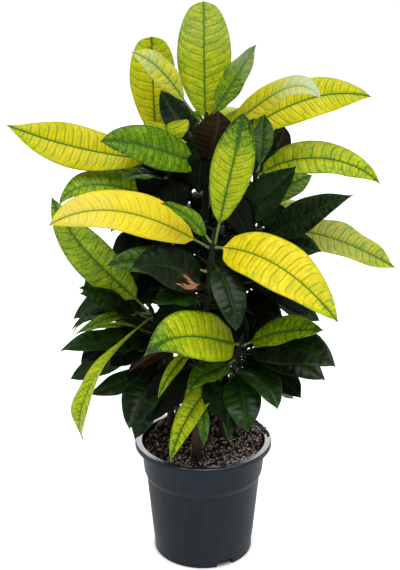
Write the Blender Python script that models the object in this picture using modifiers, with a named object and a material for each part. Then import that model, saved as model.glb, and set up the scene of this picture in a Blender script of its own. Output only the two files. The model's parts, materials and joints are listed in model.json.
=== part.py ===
"""Potted croton: a nursery pot, its soil, six woody cuttings and their leaves.

Run with: blender --background --python part.py
Units are metres and +Z is up. The origin is the middle of the pot's foot.
"""

import math

import bmesh
import bpy
from mathutils import Matrix, Vector

MM = 0.001
MERGE_DISTANCE = 0.00005
TANGENT_STEP = 0.01

# Nursery pot
POT_HEIGHT = 0.165
RIM_RADIUS = 0.095
LIP_HEIGHT = 0.007
LIP_ROUND = 0.0022
LIP_ROUND_STEPS = 3
COLLAR_TOP_RADIUS = 0.0868
COLLAR_FOOT_RADIUS = 0.0828
COLLAR_FOOT_HEIGHT = 0.113
SHOULDER_RADIUS = 0.0788
SHOULDER_HEIGHT = 0.102
RIDGE_HEIGHT = 0.018
RIDGE_STEP = 0.0008
FOOT_RADIUS = 0.0687
WALL = 0.0018
FOOT_RING = 0.004
FLOOR_HEIGHT = 0.012
FLOOR_THICK = 0.002
POT_STEPS = 48

# Notches in the foot ring and drain holes in the floor
NOTCH_WIDTH = 0.024
NOTCH_HEIGHT = 0.008
NOTCH_COUNT = 3
NOTCH_START = -64
DRAIN_RADIUS = 0.005
DRAIN_CIRCLE = 0.045
DRAIN_COUNT = 6

# Soil: low at the front, and heaped up above the lip towards the back right
SOIL_GAP = 0.0004
SOIL_EDGE_HEIGHT = 0.152
SOIL_MIDDLE_RISE = 0.007
SOIL_BACK_RISE = 0.008
SOIL_HEAP_RISE = 0.016
SOIL_HEAP_AZIMUTH = 70
SOIL_HEAP_DISTANCE = 0.066
SOIL_HEAP_SPREAD = 0.020
SOIL_HEAP_START = -0.020
SOIL_HEAP_END = 0.040
SOIL_EDGE_POWER = 14
SOIL_RINGS = 14
SOIL_STEPS = 40

# Stems: how deep they stand in the soil, and how much they thin towards the bud
STEM_DEPTH = 0.045
STEM_SOIL_GAP = 0.0004
HOLE_SIDES = 24
STEM_POINTS = 12
STEM_THINNING = 0.45
BUD_LENGTH = 0.010
STEM_LEAN_POWER = 1.3
BUD_SHARE = 0.3

# Leaves
PETIOLE_RADIUS = 0.0017
PETIOLE_GAP = 0.0005
BLADE_THICK = 0.0009
TIP_THICK = 0.0003
BLADE_STRIPS = 8
PETIOLE_STRIPS = 2
MIN_HALF_WIDTH = 0.0012
BLADE_FULLNESS = 0.62
TIP_TAPER = 0.25
TIP_TAPER_POWER = 6
LEAF_CURVE_PULL = 0.36
PETIOLE_BLEND = 4
FOLD_FADE = 0.4

# Each cutting: foot x, y on the soil, top x, y, z and foot radius, in millimetres
STEMS = {
    "back": ((0, 42), (4, 20, 606), 6.5),
    "left": ((-46, 34), (-46, 10, 573), 5.5),
    "right": ((44, 36), (70, 30, 545), 5.5),
    "front": ((-10, -52), (12, -88, 476), 6.5),
    "left_low": ((-28, -4), (-69, -40, 370), 5.0),
    "right_low": ((26, 6), (48, -93, 347), 5.5),
}

# Leaf colours: linear red, green, blue
TONES = {
    "yellow": (0.80, 0.62, 0.02),
    "lime": (0.42, 0.52, 0.02),
    "green": (0.07, 0.20, 0.02),
    "dark": (0.012, 0.035, 0.012),
}

# Each leaf: height of its foot on the stem, tip x, y, z and blade width in millimetres, how far
# along the blade it is widest, slope of the leaf at its foot and at its tip in degrees, petiole
# share of its length, the azimuth and elevation that its upper face looks to, the fold along its
# midrib in degrees, and its tone
LEAVES = {
    "back": [
        (590, (0, 45, 750), 70, 0.56, 75, 85, 0.08, (-90, 5), 12, "lime"),
        (596, (-90, 10, 690), 32, 0.60, 50, 20, 0.15, (-110, 50), 15, "lime"),
        (602, (65, 0, 700), 42, 0.46, 60, 60, 0.12, (-130, 15), 16, "green"),
        (580, (140, -60, 640), 44, 0.52, 24, -50, 0.12, (-70, 45), 12, "lime"),
        (560, (220, 45, 630), 54, 0.54, 33, -15, 0.15, (-85, 30), 12, "yellow"),
        (548, (-125, -70, 590), 55, 0.50, 15, 0, 0.06, (-90, 30), 14, "green"),
        (540, (18, -45, 625), 56, 0.55, 60, 85, 0.12, (90, 10), 12, "dark"),
        (575, (70, 160, 600), 56, 0.46, 40, -10, 0.12, (70, 70), 14, "lime"),
        (530, (-60, 190, 560), 58, 0.46, 35, -30, 0.12, (100, 60), 14, "lime"),
        (480, (50, 185, 480), 56, 0.46, 25, -35, 0.12, (80, 60), 14, "green"),
        (455, (115, -40, 555), 54, 0.46, 30, 50, 0.20, (-120, 25), 14, "dark"),
    ],
    "left": [
        (552, (-255, 10, 600), 60, 0.52, 5, 22, 0.10, (-88, 30), 12, "lime"),
        (480, (-185, -15, 500), 52, 0.46, 55, -65, 0.12, (-125, 45), 14, "green"),
        (540, (-160, 75, 545), 40, 0.46, 10, 0, 0.12, (-100, 45), 14, "dark"),
        (530, (-100, -60, 540), 40, 0.46, 15, -20, 0.12, (-95, 65), 14, "dark"),
        (566, (-50, 50, 592), 60, 0.46, 70, -45, 0.12, (-90, 60), 28, "lime"),
        (545, (-68, 75, 705), 62, 0.64, 0, 85, 0.30, (-90, 0), 10, "lime"),
        (470, (-160, 125, 455), 54, 0.46, 25, -35, 0.12, (140, 60), 14, "green"),
        (430, (-85, 165, 400), 52, 0.46, 20, -40, 0.12, (110, 55), 14, "dark"),
    ],
    "right": [
        (530, (232, 20, 520), 50, 0.50, 38, -45, 0.10, (-70, 40), 14, "lime"),
        (440, (190, -40, 520), 54, 0.46, 25, 25, 0.12, (-110, 45), 16, "dark"),
        (490, (150, 85, 520), 40, 0.46, 15, 10, 0.15, (-90, 45), 14, "green"),
        (450, (260, 20, 405), 42, 0.46, 15, -30, 0.24, (-88, 45), 16, "lime"),
        (515, (106, 64, 580), 50, 0.55, 60, 80, 0.12, (90, 10), 10, "dark"),
        (460, (160, 140, 460), 54, 0.46, 25, -30, 0.12, (40, 60), 14, "lime"),
        (410, (170, 95, 360), 52, 0.46, 15, -45, 0.12, (20, 55), 14, "dark"),
        (390, (75, 180, 350), 54, 0.46, 20, -40, 0.12, (80, 55), 14, "dark"),
    ],
    "front": [
        (468, (45, -130, 632), 58, 0.56, 75, 75, 0.16, (-90, 8), 10, "lime"),
        (462, (-180, -150, 505), 58, 0.50, 35, -30, 0.18, (-95, 40), 14, "yellow"),
        (464, (155, -190, 400), 70, 0.44, 10, -45, 0.05, (-80, 40), 12, "yellow"),
        (470, (-50, -140, 530), 24, 0.46, 55, 20, 0.12, (-115, 45), 16, "green"),
        (410, (-85, -150, 455), 56, 0.46, 40, -5, 0.08, (-95, 35), 14, "dark"),
        (392, (-60, -135, 406), 40, 0.46, 20, -10, 0.12, (-100, 60), 14, "dark"),
        (430, (-120, -95, 442), 44, 0.46, 20, -15, 0.12, (-100, 50), 14, "green"),
        (445, (38, -155, 378), 40, 0.46, -10, -85, 0.12, (-80, 25), 14, "dark"),
    ],
    "left_low": [
        (357, (-146, -170, 245), 34, 0.55, 0, -120, 0.12, (-150, 20), 20, "lime"),
        (364, (-182, -100, 530), 52, 0.46, 50, 70, 0.12, (-105, 25), 14, "lime"),
        (345, (-152, -115, 420), 28, 0.46, 25, 15, 0.12, (-110, 50), 16, "dark"),
        (338, (-170, -60, 345), 26, 0.46, 40, -60, 0.12, (-150, 50), 16, "dark"),
        (316, (-178, -115, 338), 40, 0.46, 15, -10, 0.12, (-110, 50), 16, "dark"),
        (276, (-155, -20, 240), 33, 0.50, -8, -15, 0.15, (-110, 45), 14, "dark"),
        (284, (-95, -110, 230), 56, 0.50, -5, -50, 0.08, (-115, 40), 16, "dark"),
        (320, (-150, 80, 320), 50, 0.46, 20, -35, 0.12, (150, 55), 14, "dark"),
    ],
    "right_low": [
        (338, (-70, -190, 360), 66, 0.48, 22, -30, 0.06, (-98, 35), 16, "lime"),
        (336, (140, -170, 385), 44, 0.46, 35, 10, 0.12, (-90, 50), 18, "green"),
        (325, (155, -180, 343), 52, 0.46, 25, -20, 0.12, (-90, 50), 18, "dark"),
        (318, (145, -110, 355), 40, 0.46, 20, 0, 0.12, (-80, 60), 14, "dark"),
        (300, (90, -150, 275), 46, 0.46, 10, -60, 0.12, (-60, 35), 16, "dark"),
        (292, (53, -140, 240), 48, 0.50, -10, -75, 0.08, (-95, 30), 16, "dark"),
        (250, (130, 40, 205), 40, 0.46, 10, -50, 0.15, (-30, 50), 14, "dark"),
        (310, (-20, -140, 295), 34, 0.46, -10, -40, 0.12, (-110, 40), 14, "green"),
        (286, (-42, -128, 195), 30, 0.46, -5, -70, 0.12, (-100, 30), 24, "lime"),
    ],
}


def make_collection(name):
    """A collection of the scene with this name."""
    collection = bpy.data.collections.new(name)
    bpy.context.scene.collection.children.link(collection)
    return collection


def make_material(name, colour, roughness, metallic=0.0):
    """A Principled BSDF with one colour."""
    material = bpy.data.materials.new(name)
    material.use_nodes = True
    shader = material.node_tree.nodes["Principled BSDF"]
    shader.inputs["Base Color"].default_value = (*colour, 1.0)
    shader.inputs["Roughness"].default_value = roughness
    shader.inputs["Metallic"].default_value = metallic
    material.diffuse_color = (*colour, 1.0)
    return material


def add_object(name, data, collection, material=None):
    """An object in a collection, with its material if it has one."""
    obj = bpy.data.objects.new(name, data)
    collection.objects.link(obj)
    if material:
        data.materials.append(material)
    return obj


def direction(azimuth, elevation):
    """The unit vector at an azimuth and elevation in degrees."""
    flat = math.cos(math.radians(elevation))
    return Vector((
        flat * math.cos(math.radians(azimuth)),
        flat * math.sin(math.radians(azimuth)),
        math.sin(math.radians(elevation)),
    ))


def pot_profile():
    """The pot's outline from the middle of its inner floor, over the lip, to the middle below."""
    inner_foot = FOOT_RADIUS + RIDGE_STEP - WALL
    lip_low = POT_HEIGHT - LIP_HEIGHT
    lip_under = POT_HEIGHT - WALL - LIP_ROUND / 2
    top_inner = COLLAR_TOP_RADIUS - LIP_ROUND
    points = [
        (0.0, FLOOR_HEIGHT + FLOOR_THICK),
        (inner_foot, FLOOR_HEIGHT + FLOOR_THICK),
        (SHOULDER_RADIUS - WALL, SHOULDER_HEIGHT + WALL / 2),
        (COLLAR_FOOT_RADIUS - WALL, COLLAR_FOOT_HEIGHT + WALL / 2),
        (top_inner, POT_HEIGHT - LIP_ROUND),
    ]
    for step in range(1, LIP_ROUND_STEPS + 1):
        turn = math.radians(90 * step / LIP_ROUND_STEPS)
        points.append((
            top_inner + LIP_ROUND * (1 - math.cos(turn)),
            POT_HEIGHT - LIP_ROUND * (1 - math.sin(turn)),
        ))
    for step in range(LIP_ROUND_STEPS + 1):
        turn = math.radians(90 * step / LIP_ROUND_STEPS)
        points.append((
            RIM_RADIUS - LIP_ROUND * (1 - math.sin(turn)),
            POT_HEIGHT - LIP_ROUND * (1 - math.cos(turn)),
        ))
    points += [
        (RIM_RADIUS, lip_low + WALL / 3),
        (RIM_RADIUS - WALL / 3, lip_low),
        (RIM_RADIUS - WALL, lip_low),
        (RIM_RADIUS - WALL, lip_under - LIP_ROUND / 2),
        (RIM_RADIUS - WALL - LIP_ROUND / 2, lip_under),
        (COLLAR_TOP_RADIUS, lip_under),
        (COLLAR_FOOT_RADIUS, COLLAR_FOOT_HEIGHT),
        (SHOULDER_RADIUS, SHOULDER_HEIGHT),
        (FOOT_RADIUS + 2 * RIDGE_STEP, RIDGE_HEIGHT + RIDGE_STEP),
        (FOOT_RADIUS + RIDGE_STEP, RIDGE_HEIGHT),
        (FOOT_RADIUS, 0.0),
        (FOOT_RADIUS - FOOT_RING, 0.0),
        (FOOT_RADIUS - FOOT_RING, FLOOR_HEIGHT),
        (0.0, FLOOR_HEIGHT),
    ]
    return points


def turned_object(name, profile, steps, collection, material):
    """A solid of revolution about Z, from a profile in the XZ plane at +X."""
    mesh = bpy.data.meshes.new(name)
    edges = [(i, i + 1) for i in range(len(profile) - 1)]
    mesh.from_pydata([(x, 0.0, z) for x, z in profile], edges, [])
    obj = add_object(name, mesh, collection, material)
    screw = obj.modifiers.new("turn", "SCREW")
    screw.axis = "Z"
    screw.steps = steps
    screw.render_steps = steps
    screw.use_merge_vertices = True
    screw.merge_threshold = MERGE_DISTANCE
    return obj


def add_cutter(name, maker, matrix, collection):
    """A hidden tool shape for a Boolean, made by a bmesh function and placed by a matrix."""
    mesh = bpy.data.meshes.new(name)
    bm = bmesh.new()
    maker(bm)
    bm.transform(matrix)
    bm.to_mesh(mesh)
    bm.free()
    obj = add_object(name, mesh, collection)
    obj.hide_render = True
    obj.display_type = "WIRE"
    return obj


def cut(obj, cutters):
    """Takes each cutter out of the object."""
    for cutter in cutters:
        boolean = obj.modifiers.new(cutter.name, "BOOLEAN")
        boolean.operation = "DIFFERENCE"
        boolean.solver = "EXACT"
        boolean.object = cutter


def make_pot(parts, cutters):
    """The nursery pot with its foot notches and drain holes."""
    material = make_material("pot_plastic", (0.030, 0.037, 0.042), 0.4)
    pot = turned_object("pot", pot_profile(), POT_STEPS, parts, material)
    tools = []
    for i in range(NOTCH_COUNT):
        turn = math.radians(NOTCH_START + 360 * i / NOTCH_COUNT)
        size = Matrix.Diagonal((6 * FOOT_RING, NOTCH_WIDTH, 2 * NOTCH_HEIGHT, 1.0))
        place = Matrix.Rotation(turn, 4, "Z") @ Matrix.Translation((FOOT_RADIUS, 0, 0)) @ size
        tools.append(add_cutter(
            f"notch_{i + 1}",
            lambda bm: bmesh.ops.create_cube(bm, size=1.0),
            place,
            cutters,
        ))
    for i in range(DRAIN_COUNT):
        place = Matrix.Translation(
            DRAIN_CIRCLE * direction(360 * (i + 0.5) / DRAIN_COUNT, 0)
            + Vector((0, 0, FLOOR_HEIGHT))
        )
        tools.append(add_cutter(
            f"drain_{i + 1}",
            lambda bm: bmesh.ops.create_cone(
                bm,
                cap_ends=True,
                segments=16,
                radius1=DRAIN_RADIUS,
                radius2=DRAIN_RADIUS,
                depth=6 * FLOOR_THICK,
            ),
            place,
            cutters,
        ))
    cut(pot, tools)
    return pot


def inner_radius(z):
    """The radius of the pot's inner wall at a height."""
    low = (FOOT_RADIUS + RIDGE_STEP - WALL, FLOOR_HEIGHT + FLOOR_THICK)
    shoulder = (SHOULDER_RADIUS - WALL, SHOULDER_HEIGHT + WALL / 2)
    collar = (COLLAR_FOOT_RADIUS - WALL, COLLAR_FOOT_HEIGHT + WALL / 2)
    rim = (COLLAR_TOP_RADIUS - LIP_ROUND, POT_HEIGHT - LIP_ROUND)
    for (r0, z0), (r1, z1) in ((low, shoulder), (shoulder, collar), (collar, rim)):
        if z <= z1:
            return r0 + (r1 - r0) * (z - z0) / (z1 - z0)
    return rim[0]


def soil_height(x, y):
    """The height of the soil's surface."""
    reach = inner_radius(SOIL_EDGE_HEIGHT)
    share = min(math.hypot(x, y) / reach, 1.0)
    middle = SOIL_MIDDLE_RISE * math.cos(share * math.pi / 2)
    back = direction(SOIL_HEAP_AZIMUTH, 0)
    rise = (x * back.x + y * back.y - SOIL_HEAP_START) / (SOIL_HEAP_END - SOIL_HEAP_START)
    rise = min(max(rise, 0.0), 1.0)
    rise = rise * rise * (3 - 2 * rise)
    away = (math.hypot(x, y) - SOIL_HEAP_DISTANCE) / SOIL_HEAP_SPREAD
    heap = SOIL_HEAP_RISE * math.exp(-away * away) * (1 - share ** SOIL_EDGE_POWER)
    return SOIL_EDGE_HEIGHT + middle + rise * (SOIL_BACK_RISE + heap)


def stem_hole(stem, cutters):
    """The cutter for the hole that a stem stands in."""
    (x0, y0), _, radius = STEMS[stem]
    z0 = soil_height(x0 * MM, y0 * MM)
    hole = (radius * MM + STEM_SOIL_GAP) / math.cos(math.pi / HOLE_SIDES)
    place = Matrix.Translation((x0 * MM, y0 * MM, z0 - STEM_SOIL_GAP))
    return add_cutter(
        f"hole_{stem}",
        lambda bm: bmesh.ops.create_cone(
            bm,
            cap_ends=True,
            segments=HOLE_SIDES,
            radius1=hole,
            radius2=hole,
            depth=2 * STEM_DEPTH,
        ),
        place,
        cutters,
    )


def make_soil(parts, cutters):
    """The potting soil: a turned body of the pot's inside, with a heaped top."""
    floor = FLOOR_HEIGHT + FLOOR_THICK + SOIL_GAP
    walls = (floor, SHOULDER_HEIGHT + WALL / 2, COLLAR_FOOT_HEIGHT + WALL / 2, SOIL_EDGE_HEIGHT)
    shrink = math.cos(math.pi / POT_STEPS)
    edge = inner_radius(SOIL_EDGE_HEIGHT) * shrink - SOIL_GAP
    profile = [(edge * i / SOIL_RINGS, SOIL_EDGE_HEIGHT) for i in range(SOIL_RINGS)]
    profile += [(inner_radius(z) * shrink - SOIL_GAP, z) for z in reversed(walls)]
    profile.append((0.0, floor))
    material = make_material("potting_soil", (0.020, 0.012, 0.008), 0.95)
    turned = turned_object("soil_turned", profile, SOIL_STEPS, parts, material)
    graph = bpy.context.evaluated_depsgraph_get()
    mesh = bpy.data.meshes.new_from_object(turned.evaluated_get(graph))
    bpy.data.objects.remove(turned)
    mesh.name = "soil"
    for vertex in mesh.vertices:
        if vertex.co.z > SOIL_EDGE_HEIGHT - SOIL_GAP:
            vertex.co.z = soil_height(vertex.co.x, vertex.co.y)
    soil = bpy.data.objects.new("soil", mesh)
    parts.objects.link(soil)
    cut(soil, [stem_hole(stem, cutters) for stem in STEMS])
    return soil


def stem_point(stem, z):
    """The middle of a stem at a height."""
    (x0, y0), (x1, y1, z1), _ = STEMS[stem]
    foot = Vector((x0, y0, 0)) * MM
    top = Vector((x1, y1, z1)) * MM
    z0 = soil_height(foot.x, foot.y)
    share = max(0.0, (z - z0) / (top.z - z0))
    bow = share ** STEM_LEAN_POWER
    return Vector((foot.x + (top.x - foot.x) * bow, foot.y + (top.y - foot.y) * bow, z))


def stem_slope(stem, z):
    """The direction that a stem grows in at a height."""
    return (stem_point(stem, z + MM) - stem_point(stem, z - MM)).normalized()


def stem_radius(stem, z):
    """The radius of a stem at a height: thinner towards its bud."""
    (x0, y0), (_, _, z1), radius = STEMS[stem]
    z0 = soil_height(x0 * MM, y0 * MM)
    share = max(0.0, (z - z0) / (z1 * MM - z0))
    return radius * MM * (1 - STEM_THINNING * share)


def make_stem(stem, parts, material):
    """One woody cutting, standing in its hole in the soil."""
    (x0, y0), (_, _, z1), radius = STEMS[stem]
    z0 = soil_height(x0 * MM, y0 * MM)
    heights = [z0 + (z1 * MM - z0) * i / STEM_POINTS for i in range(STEM_POINTS + 1)]
    heights.insert(0, z0 - STEM_DEPTH)
    heights.append(z1 * MM + BUD_LENGTH)
    curve = bpy.data.curves.new(f"stem_{stem}", "CURVE")
    curve.dimensions = "3D"
    curve.bevel_depth = radius * MM
    curve.bevel_resolution = 4
    curve.use_fill_caps = True
    spline = curve.splines.new("POLY")
    spline.points.add(len(heights) - 1)
    for point, z in zip(spline.points, heights):
        point.co = (*stem_point(stem, z), 1.0)
        point.radius = stem_radius(stem, z) / (radius * MM)
    spline.points[-1].radius = BUD_SHARE
    return add_object(f"stem_{stem}", curve, parts, material)


def bezier(points, t):
    """A point on a cubic curve."""
    a, b, c, d = points
    s = 1 - t
    return a * s ** 3 + b * (3 * s * s * t) + c * (3 * s * t * t) + d * t ** 3


def leaf_route(stem, height, tip, rise, droop):
    """The way out of the stem's side, and the leaf's midrib from there as a cubic curve."""
    z = height * MM
    middle = stem_point(stem, z)
    end = Vector(tip) * MM
    heading = math.degrees(math.atan2(end.y - middle.y, end.x - middle.x))
    grown = stem_slope(stem, z)
    out = direction(heading, 0)
    out = (out - grown * out.dot(grown)).normalized()
    foot = middle + (stem_radius(stem, z) + PETIOLE_GAP) * out
    pull = LEAF_CURVE_PULL * (end - foot).length
    return out, [
        foot,
        foot + pull * direction(heading, rise),
        end - pull * direction(heading, droop),
        end,
    ]


def blade_half_width(share, width, belly):
    """Half the blade's width along its length: widest at the belly, with a drawn-out tip."""
    stretched = share ** (math.log(0.5) / math.log(belly))
    swell = max(0.0, math.sin(math.pi * stretched)) ** BLADE_FULLNESS
    taper = 1 - TIP_TAPER * share ** TIP_TAPER_POWER
    return max(MIN_HALF_WIDTH, width * MM / 2 * swell * taper)


def leaf_section(middle, side, up, half_width, thick, fold):
    """Eight points round a blade's section: a thin lens folded up along its midrib."""
    rise = math.tan(math.radians(fold))
    points = []
    for across, level in (
        (-1, 0), (-0.5, 0.8), (0, 1), (0.5, 0.8), (1, 0), (0.5, -0.8), (0, -1), (-0.5, -0.8),
    ):
        lift = abs(across) * half_width * rise + level * thick / 2
        points.append(middle + side * (across * half_width) + up * lift)
    return points


def round_section(middle, side, up, radius):
    """Eight points round the petiole, in the order of a blade's section."""
    return [
        middle + radius * (side * -math.cos(math.pi * k / 4) + up * math.sin(math.pi * k / 4))
        for k in range(8)
    ]


def leaf_rings(stem, spec):
    """The leaf's sections from its foot to its tip."""
    height, tip, width, belly, rise, droop, petiole, faces, fold, _ = spec
    out, route = leaf_route(stem, height, tip, rise, droop)
    upper = direction(*faces)
    strips = PETIOLE_STRIPS + BLADE_STRIPS
    rings = []
    for i in range(strips + 1):
        if i <= PETIOLE_STRIPS:
            t = petiole * i / PETIOLE_STRIPS
        else:
            t = petiole + (1 - petiole) * (i - PETIOLE_STRIPS) / BLADE_STRIPS
        middle = bezier(route, t)
        ahead = bezier(route, min(t + TANGENT_STEP, 1))
        along = (ahead - bezier(route, max(t - TANGENT_STEP, 0))).normalized()
        if i == 0:
            along = out
        up = (upper - along * upper.dot(along)).normalized()
        side = along.cross(up)
        if i < PETIOLE_STRIPS:
            rings.append(round_section(middle, side, up, PETIOLE_RADIUS))
            continue
        share = (t - petiole) / (1 - petiole)
        half = blade_half_width(share, width, belly)
        blend = min(1, PETIOLE_BLEND * share)
        thick = BLADE_THICK + (2 * PETIOLE_RADIUS - BLADE_THICK) * (1 - blend) ** 2
        if i == strips:
            thick = TIP_THICK
        opened = fold * blend * (1 - FOLD_FADE * share)
        rings.append(leaf_section(middle, side, up, half, thick, opened))
    return rings


def make_leaf(name, stem, spec, parts, material):
    """One leaf: a loft from its round petiole to its thin pointed blade."""
    rings = leaf_rings(stem, spec)
    bm = bmesh.new()
    loops = [[bm.verts.new(point) for point in ring] for ring in rings]
    for low, high in zip(loops, loops[1:]):
        for k in range(8):
            after = (k + 1) % 8
            bm.faces.new((low[k], low[after], high[after], high[k]))
    bm.faces.new(list(reversed(loops[0])))
    bm.faces.new(loops[-1])
    bmesh.ops.triangulate(bm, faces=bm.faces[:])
    mesh = bpy.data.meshes.new(name)
    bm.to_mesh(mesh)
    bm.free()
    mesh.shade_smooth()
    return add_object(name, mesh, parts, material)


def build():
    """The whole plant in its pot."""
    for obj in list(bpy.data.objects):
        bpy.data.objects.remove(obj)
    parts = make_collection("potted_croton")
    cutters = make_collection("cutters")
    make_pot(parts, cutters)
    make_soil(parts, cutters)
    bark = make_material("stem_bark", (0.09, 0.055, 0.03), 0.8)
    tones = {
        tone: make_material(f"leaf_{tone}", colour, 0.35) for tone, colour in TONES.items()
    }
    for stem in STEMS:
        make_stem(stem, parts, bark)
        for number, spec in enumerate(LEAVES[stem], 1):
            make_leaf(f"leaf_{stem}_{number:02d}", stem, spec, parts, tones[spec[-1]])


build()
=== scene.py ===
import functools
import json
import math
import random

import bmesh
import bpy
import numpy as np
from mathutils import Matrix, Vector, noise


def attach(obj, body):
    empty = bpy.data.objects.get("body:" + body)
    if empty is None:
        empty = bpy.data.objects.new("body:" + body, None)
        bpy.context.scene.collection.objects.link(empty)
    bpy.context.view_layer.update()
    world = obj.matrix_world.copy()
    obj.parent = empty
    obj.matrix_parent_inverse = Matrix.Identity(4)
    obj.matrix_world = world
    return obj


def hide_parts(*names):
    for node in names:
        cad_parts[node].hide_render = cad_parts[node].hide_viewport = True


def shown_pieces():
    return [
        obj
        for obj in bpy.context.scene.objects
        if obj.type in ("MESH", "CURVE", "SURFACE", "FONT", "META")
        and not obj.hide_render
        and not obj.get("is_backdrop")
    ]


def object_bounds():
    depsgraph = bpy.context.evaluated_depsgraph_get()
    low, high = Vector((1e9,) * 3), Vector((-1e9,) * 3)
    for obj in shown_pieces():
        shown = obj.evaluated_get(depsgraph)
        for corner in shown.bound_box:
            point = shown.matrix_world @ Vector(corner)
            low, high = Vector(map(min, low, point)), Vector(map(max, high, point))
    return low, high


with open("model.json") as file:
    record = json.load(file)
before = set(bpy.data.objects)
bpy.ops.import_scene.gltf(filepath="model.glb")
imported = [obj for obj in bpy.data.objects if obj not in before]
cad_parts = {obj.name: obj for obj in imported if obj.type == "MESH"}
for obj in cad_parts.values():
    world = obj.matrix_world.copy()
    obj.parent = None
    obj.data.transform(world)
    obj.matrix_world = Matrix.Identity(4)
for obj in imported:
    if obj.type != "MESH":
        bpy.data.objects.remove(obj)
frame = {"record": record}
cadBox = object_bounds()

mm = 0.001


# small helpers

def linear(hexColour):
    # an sRGB hex colour as linear red, green, blue and alpha
    channels = [int(hexColour[i:i + 2], 16) / 255 for i in (1, 3, 5)]
    return tuple(c / 12.92 if c <= 0.04045 else ((c + 0.055) / 1.055) ** 2.4 for c in channels) + (1.0,)


def addNode(tree, kind, inputs=(), stops=(), **settings):
    # one shader node with its settings, its links and, for a colour ramp, its stops; inputs go by their
    # order or by name, and a node given as an input links its first shown output
    made = tree.nodes.new("ShaderNode" + kind)
    if stops:
        ramp = made.color_ramp.elements
        ramp.remove(ramp[1])
        ramp[0].position, ramp[0].color = stops[0][0], linear(stops[0][1])
        for place, colour in stops[1:]:
            ramp.new(place).color = linear(colour)
    for key, value in settings.items():
        setattr(made, key, value)
    for key, value in inputs.items() if isinstance(inputs, dict) else enumerate(inputs):
        if isinstance(value, bpy.types.Node):
            value = next(o for o in value.outputs if o.enabled)
        if isinstance(value, bpy.types.NodeSocket):
            tree.links.new(value, made.inputs[key])
        else:
            made.inputs[key].default_value = value
    return made


def newMaterial(name):
    # an empty node material, and addNode for its nodes
    material = bpy.data.materials.new(name)
    material.use_nodes = True
    material.node_tree.nodes.clear()
    return material, functools.partial(addNode, material.node_tree)


def newObject(name, data):
    # an object in the scene
    made = bpy.data.objects.new(name, data)
    bpy.context.scene.collection.objects.link(made)
    return made


def newPiece(name, mesh, slot, *replaced):
    # an object of the part: it rides on the plant's one body and may stand for CAD nodes
    piece = newObject(name, mesh)
    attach(piece, "root")
    if replaced:
        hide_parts(*replaced)


def newMesh(name, points, faces, materials=(), smooth=True, **known):
    # a mesh from points in mm, with its materials and what they read at each point
    mesh = bpy.data.meshes.new(name)
    mesh.from_pydata((np.asarray(points, float) * mm).tolist(), [], faces)
    for key, values in known.items():
        values = np.asarray(values, np.float32)
        kind, field = ("FLOAT", "value") if values.ndim == 1 else ("FLOAT_VECTOR", "vector")
        mesh.attributes.new(key, kind, "POINT").data.foreach_set(field, values.ravel())
    for material in materials:
        mesh.materials.append(material)
    if smooth:
        mesh.shade_smooth()
    return mesh


def spunFaces(rows, steps):
    # faces of a closed body: a point on the axis, rows of points round it, and a last point on the axis
    faces = []
    for j in range(steps):
        after = (j + 1) % steps
        faces.append((0, 1 + j, 1 + after))
        for i in range(rows - 1):
            a = 1 + i * steps
            faces.append((a + j, a + steps + j, a + steps + after, a + after))
        a = 1 + (rows - 1) * steps
        faces.append((a + j, 1 + rows * steps, a + after))
    return faces


def direction(azimuth, elevation):
    # the unit vector at an azimuth and elevation in degrees
    flat = math.cos(math.radians(elevation))
    return np.array([
        flat * math.cos(math.radians(azimuth)),
        flat * math.sin(math.radians(azimuth)),
        math.sin(math.radians(elevation)),
    ])


def smooth(values, low, high):
    # 0 below low, 1 above high and a smooth rise between
    share = np.clip((np.asarray(values, float) - low) / (high - low), 0, 1)
    return share * share * (3 - 2 * share)


def unit(vectors):
    return vectors / np.linalg.norm(vectors, axis=-1, keepdims=True)


eased = {"interpolation_type": "SMOOTHSTEP"}   # settings that many nodes share
inColour = {"data_type": "RGBA"}


# leaf materials

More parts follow.
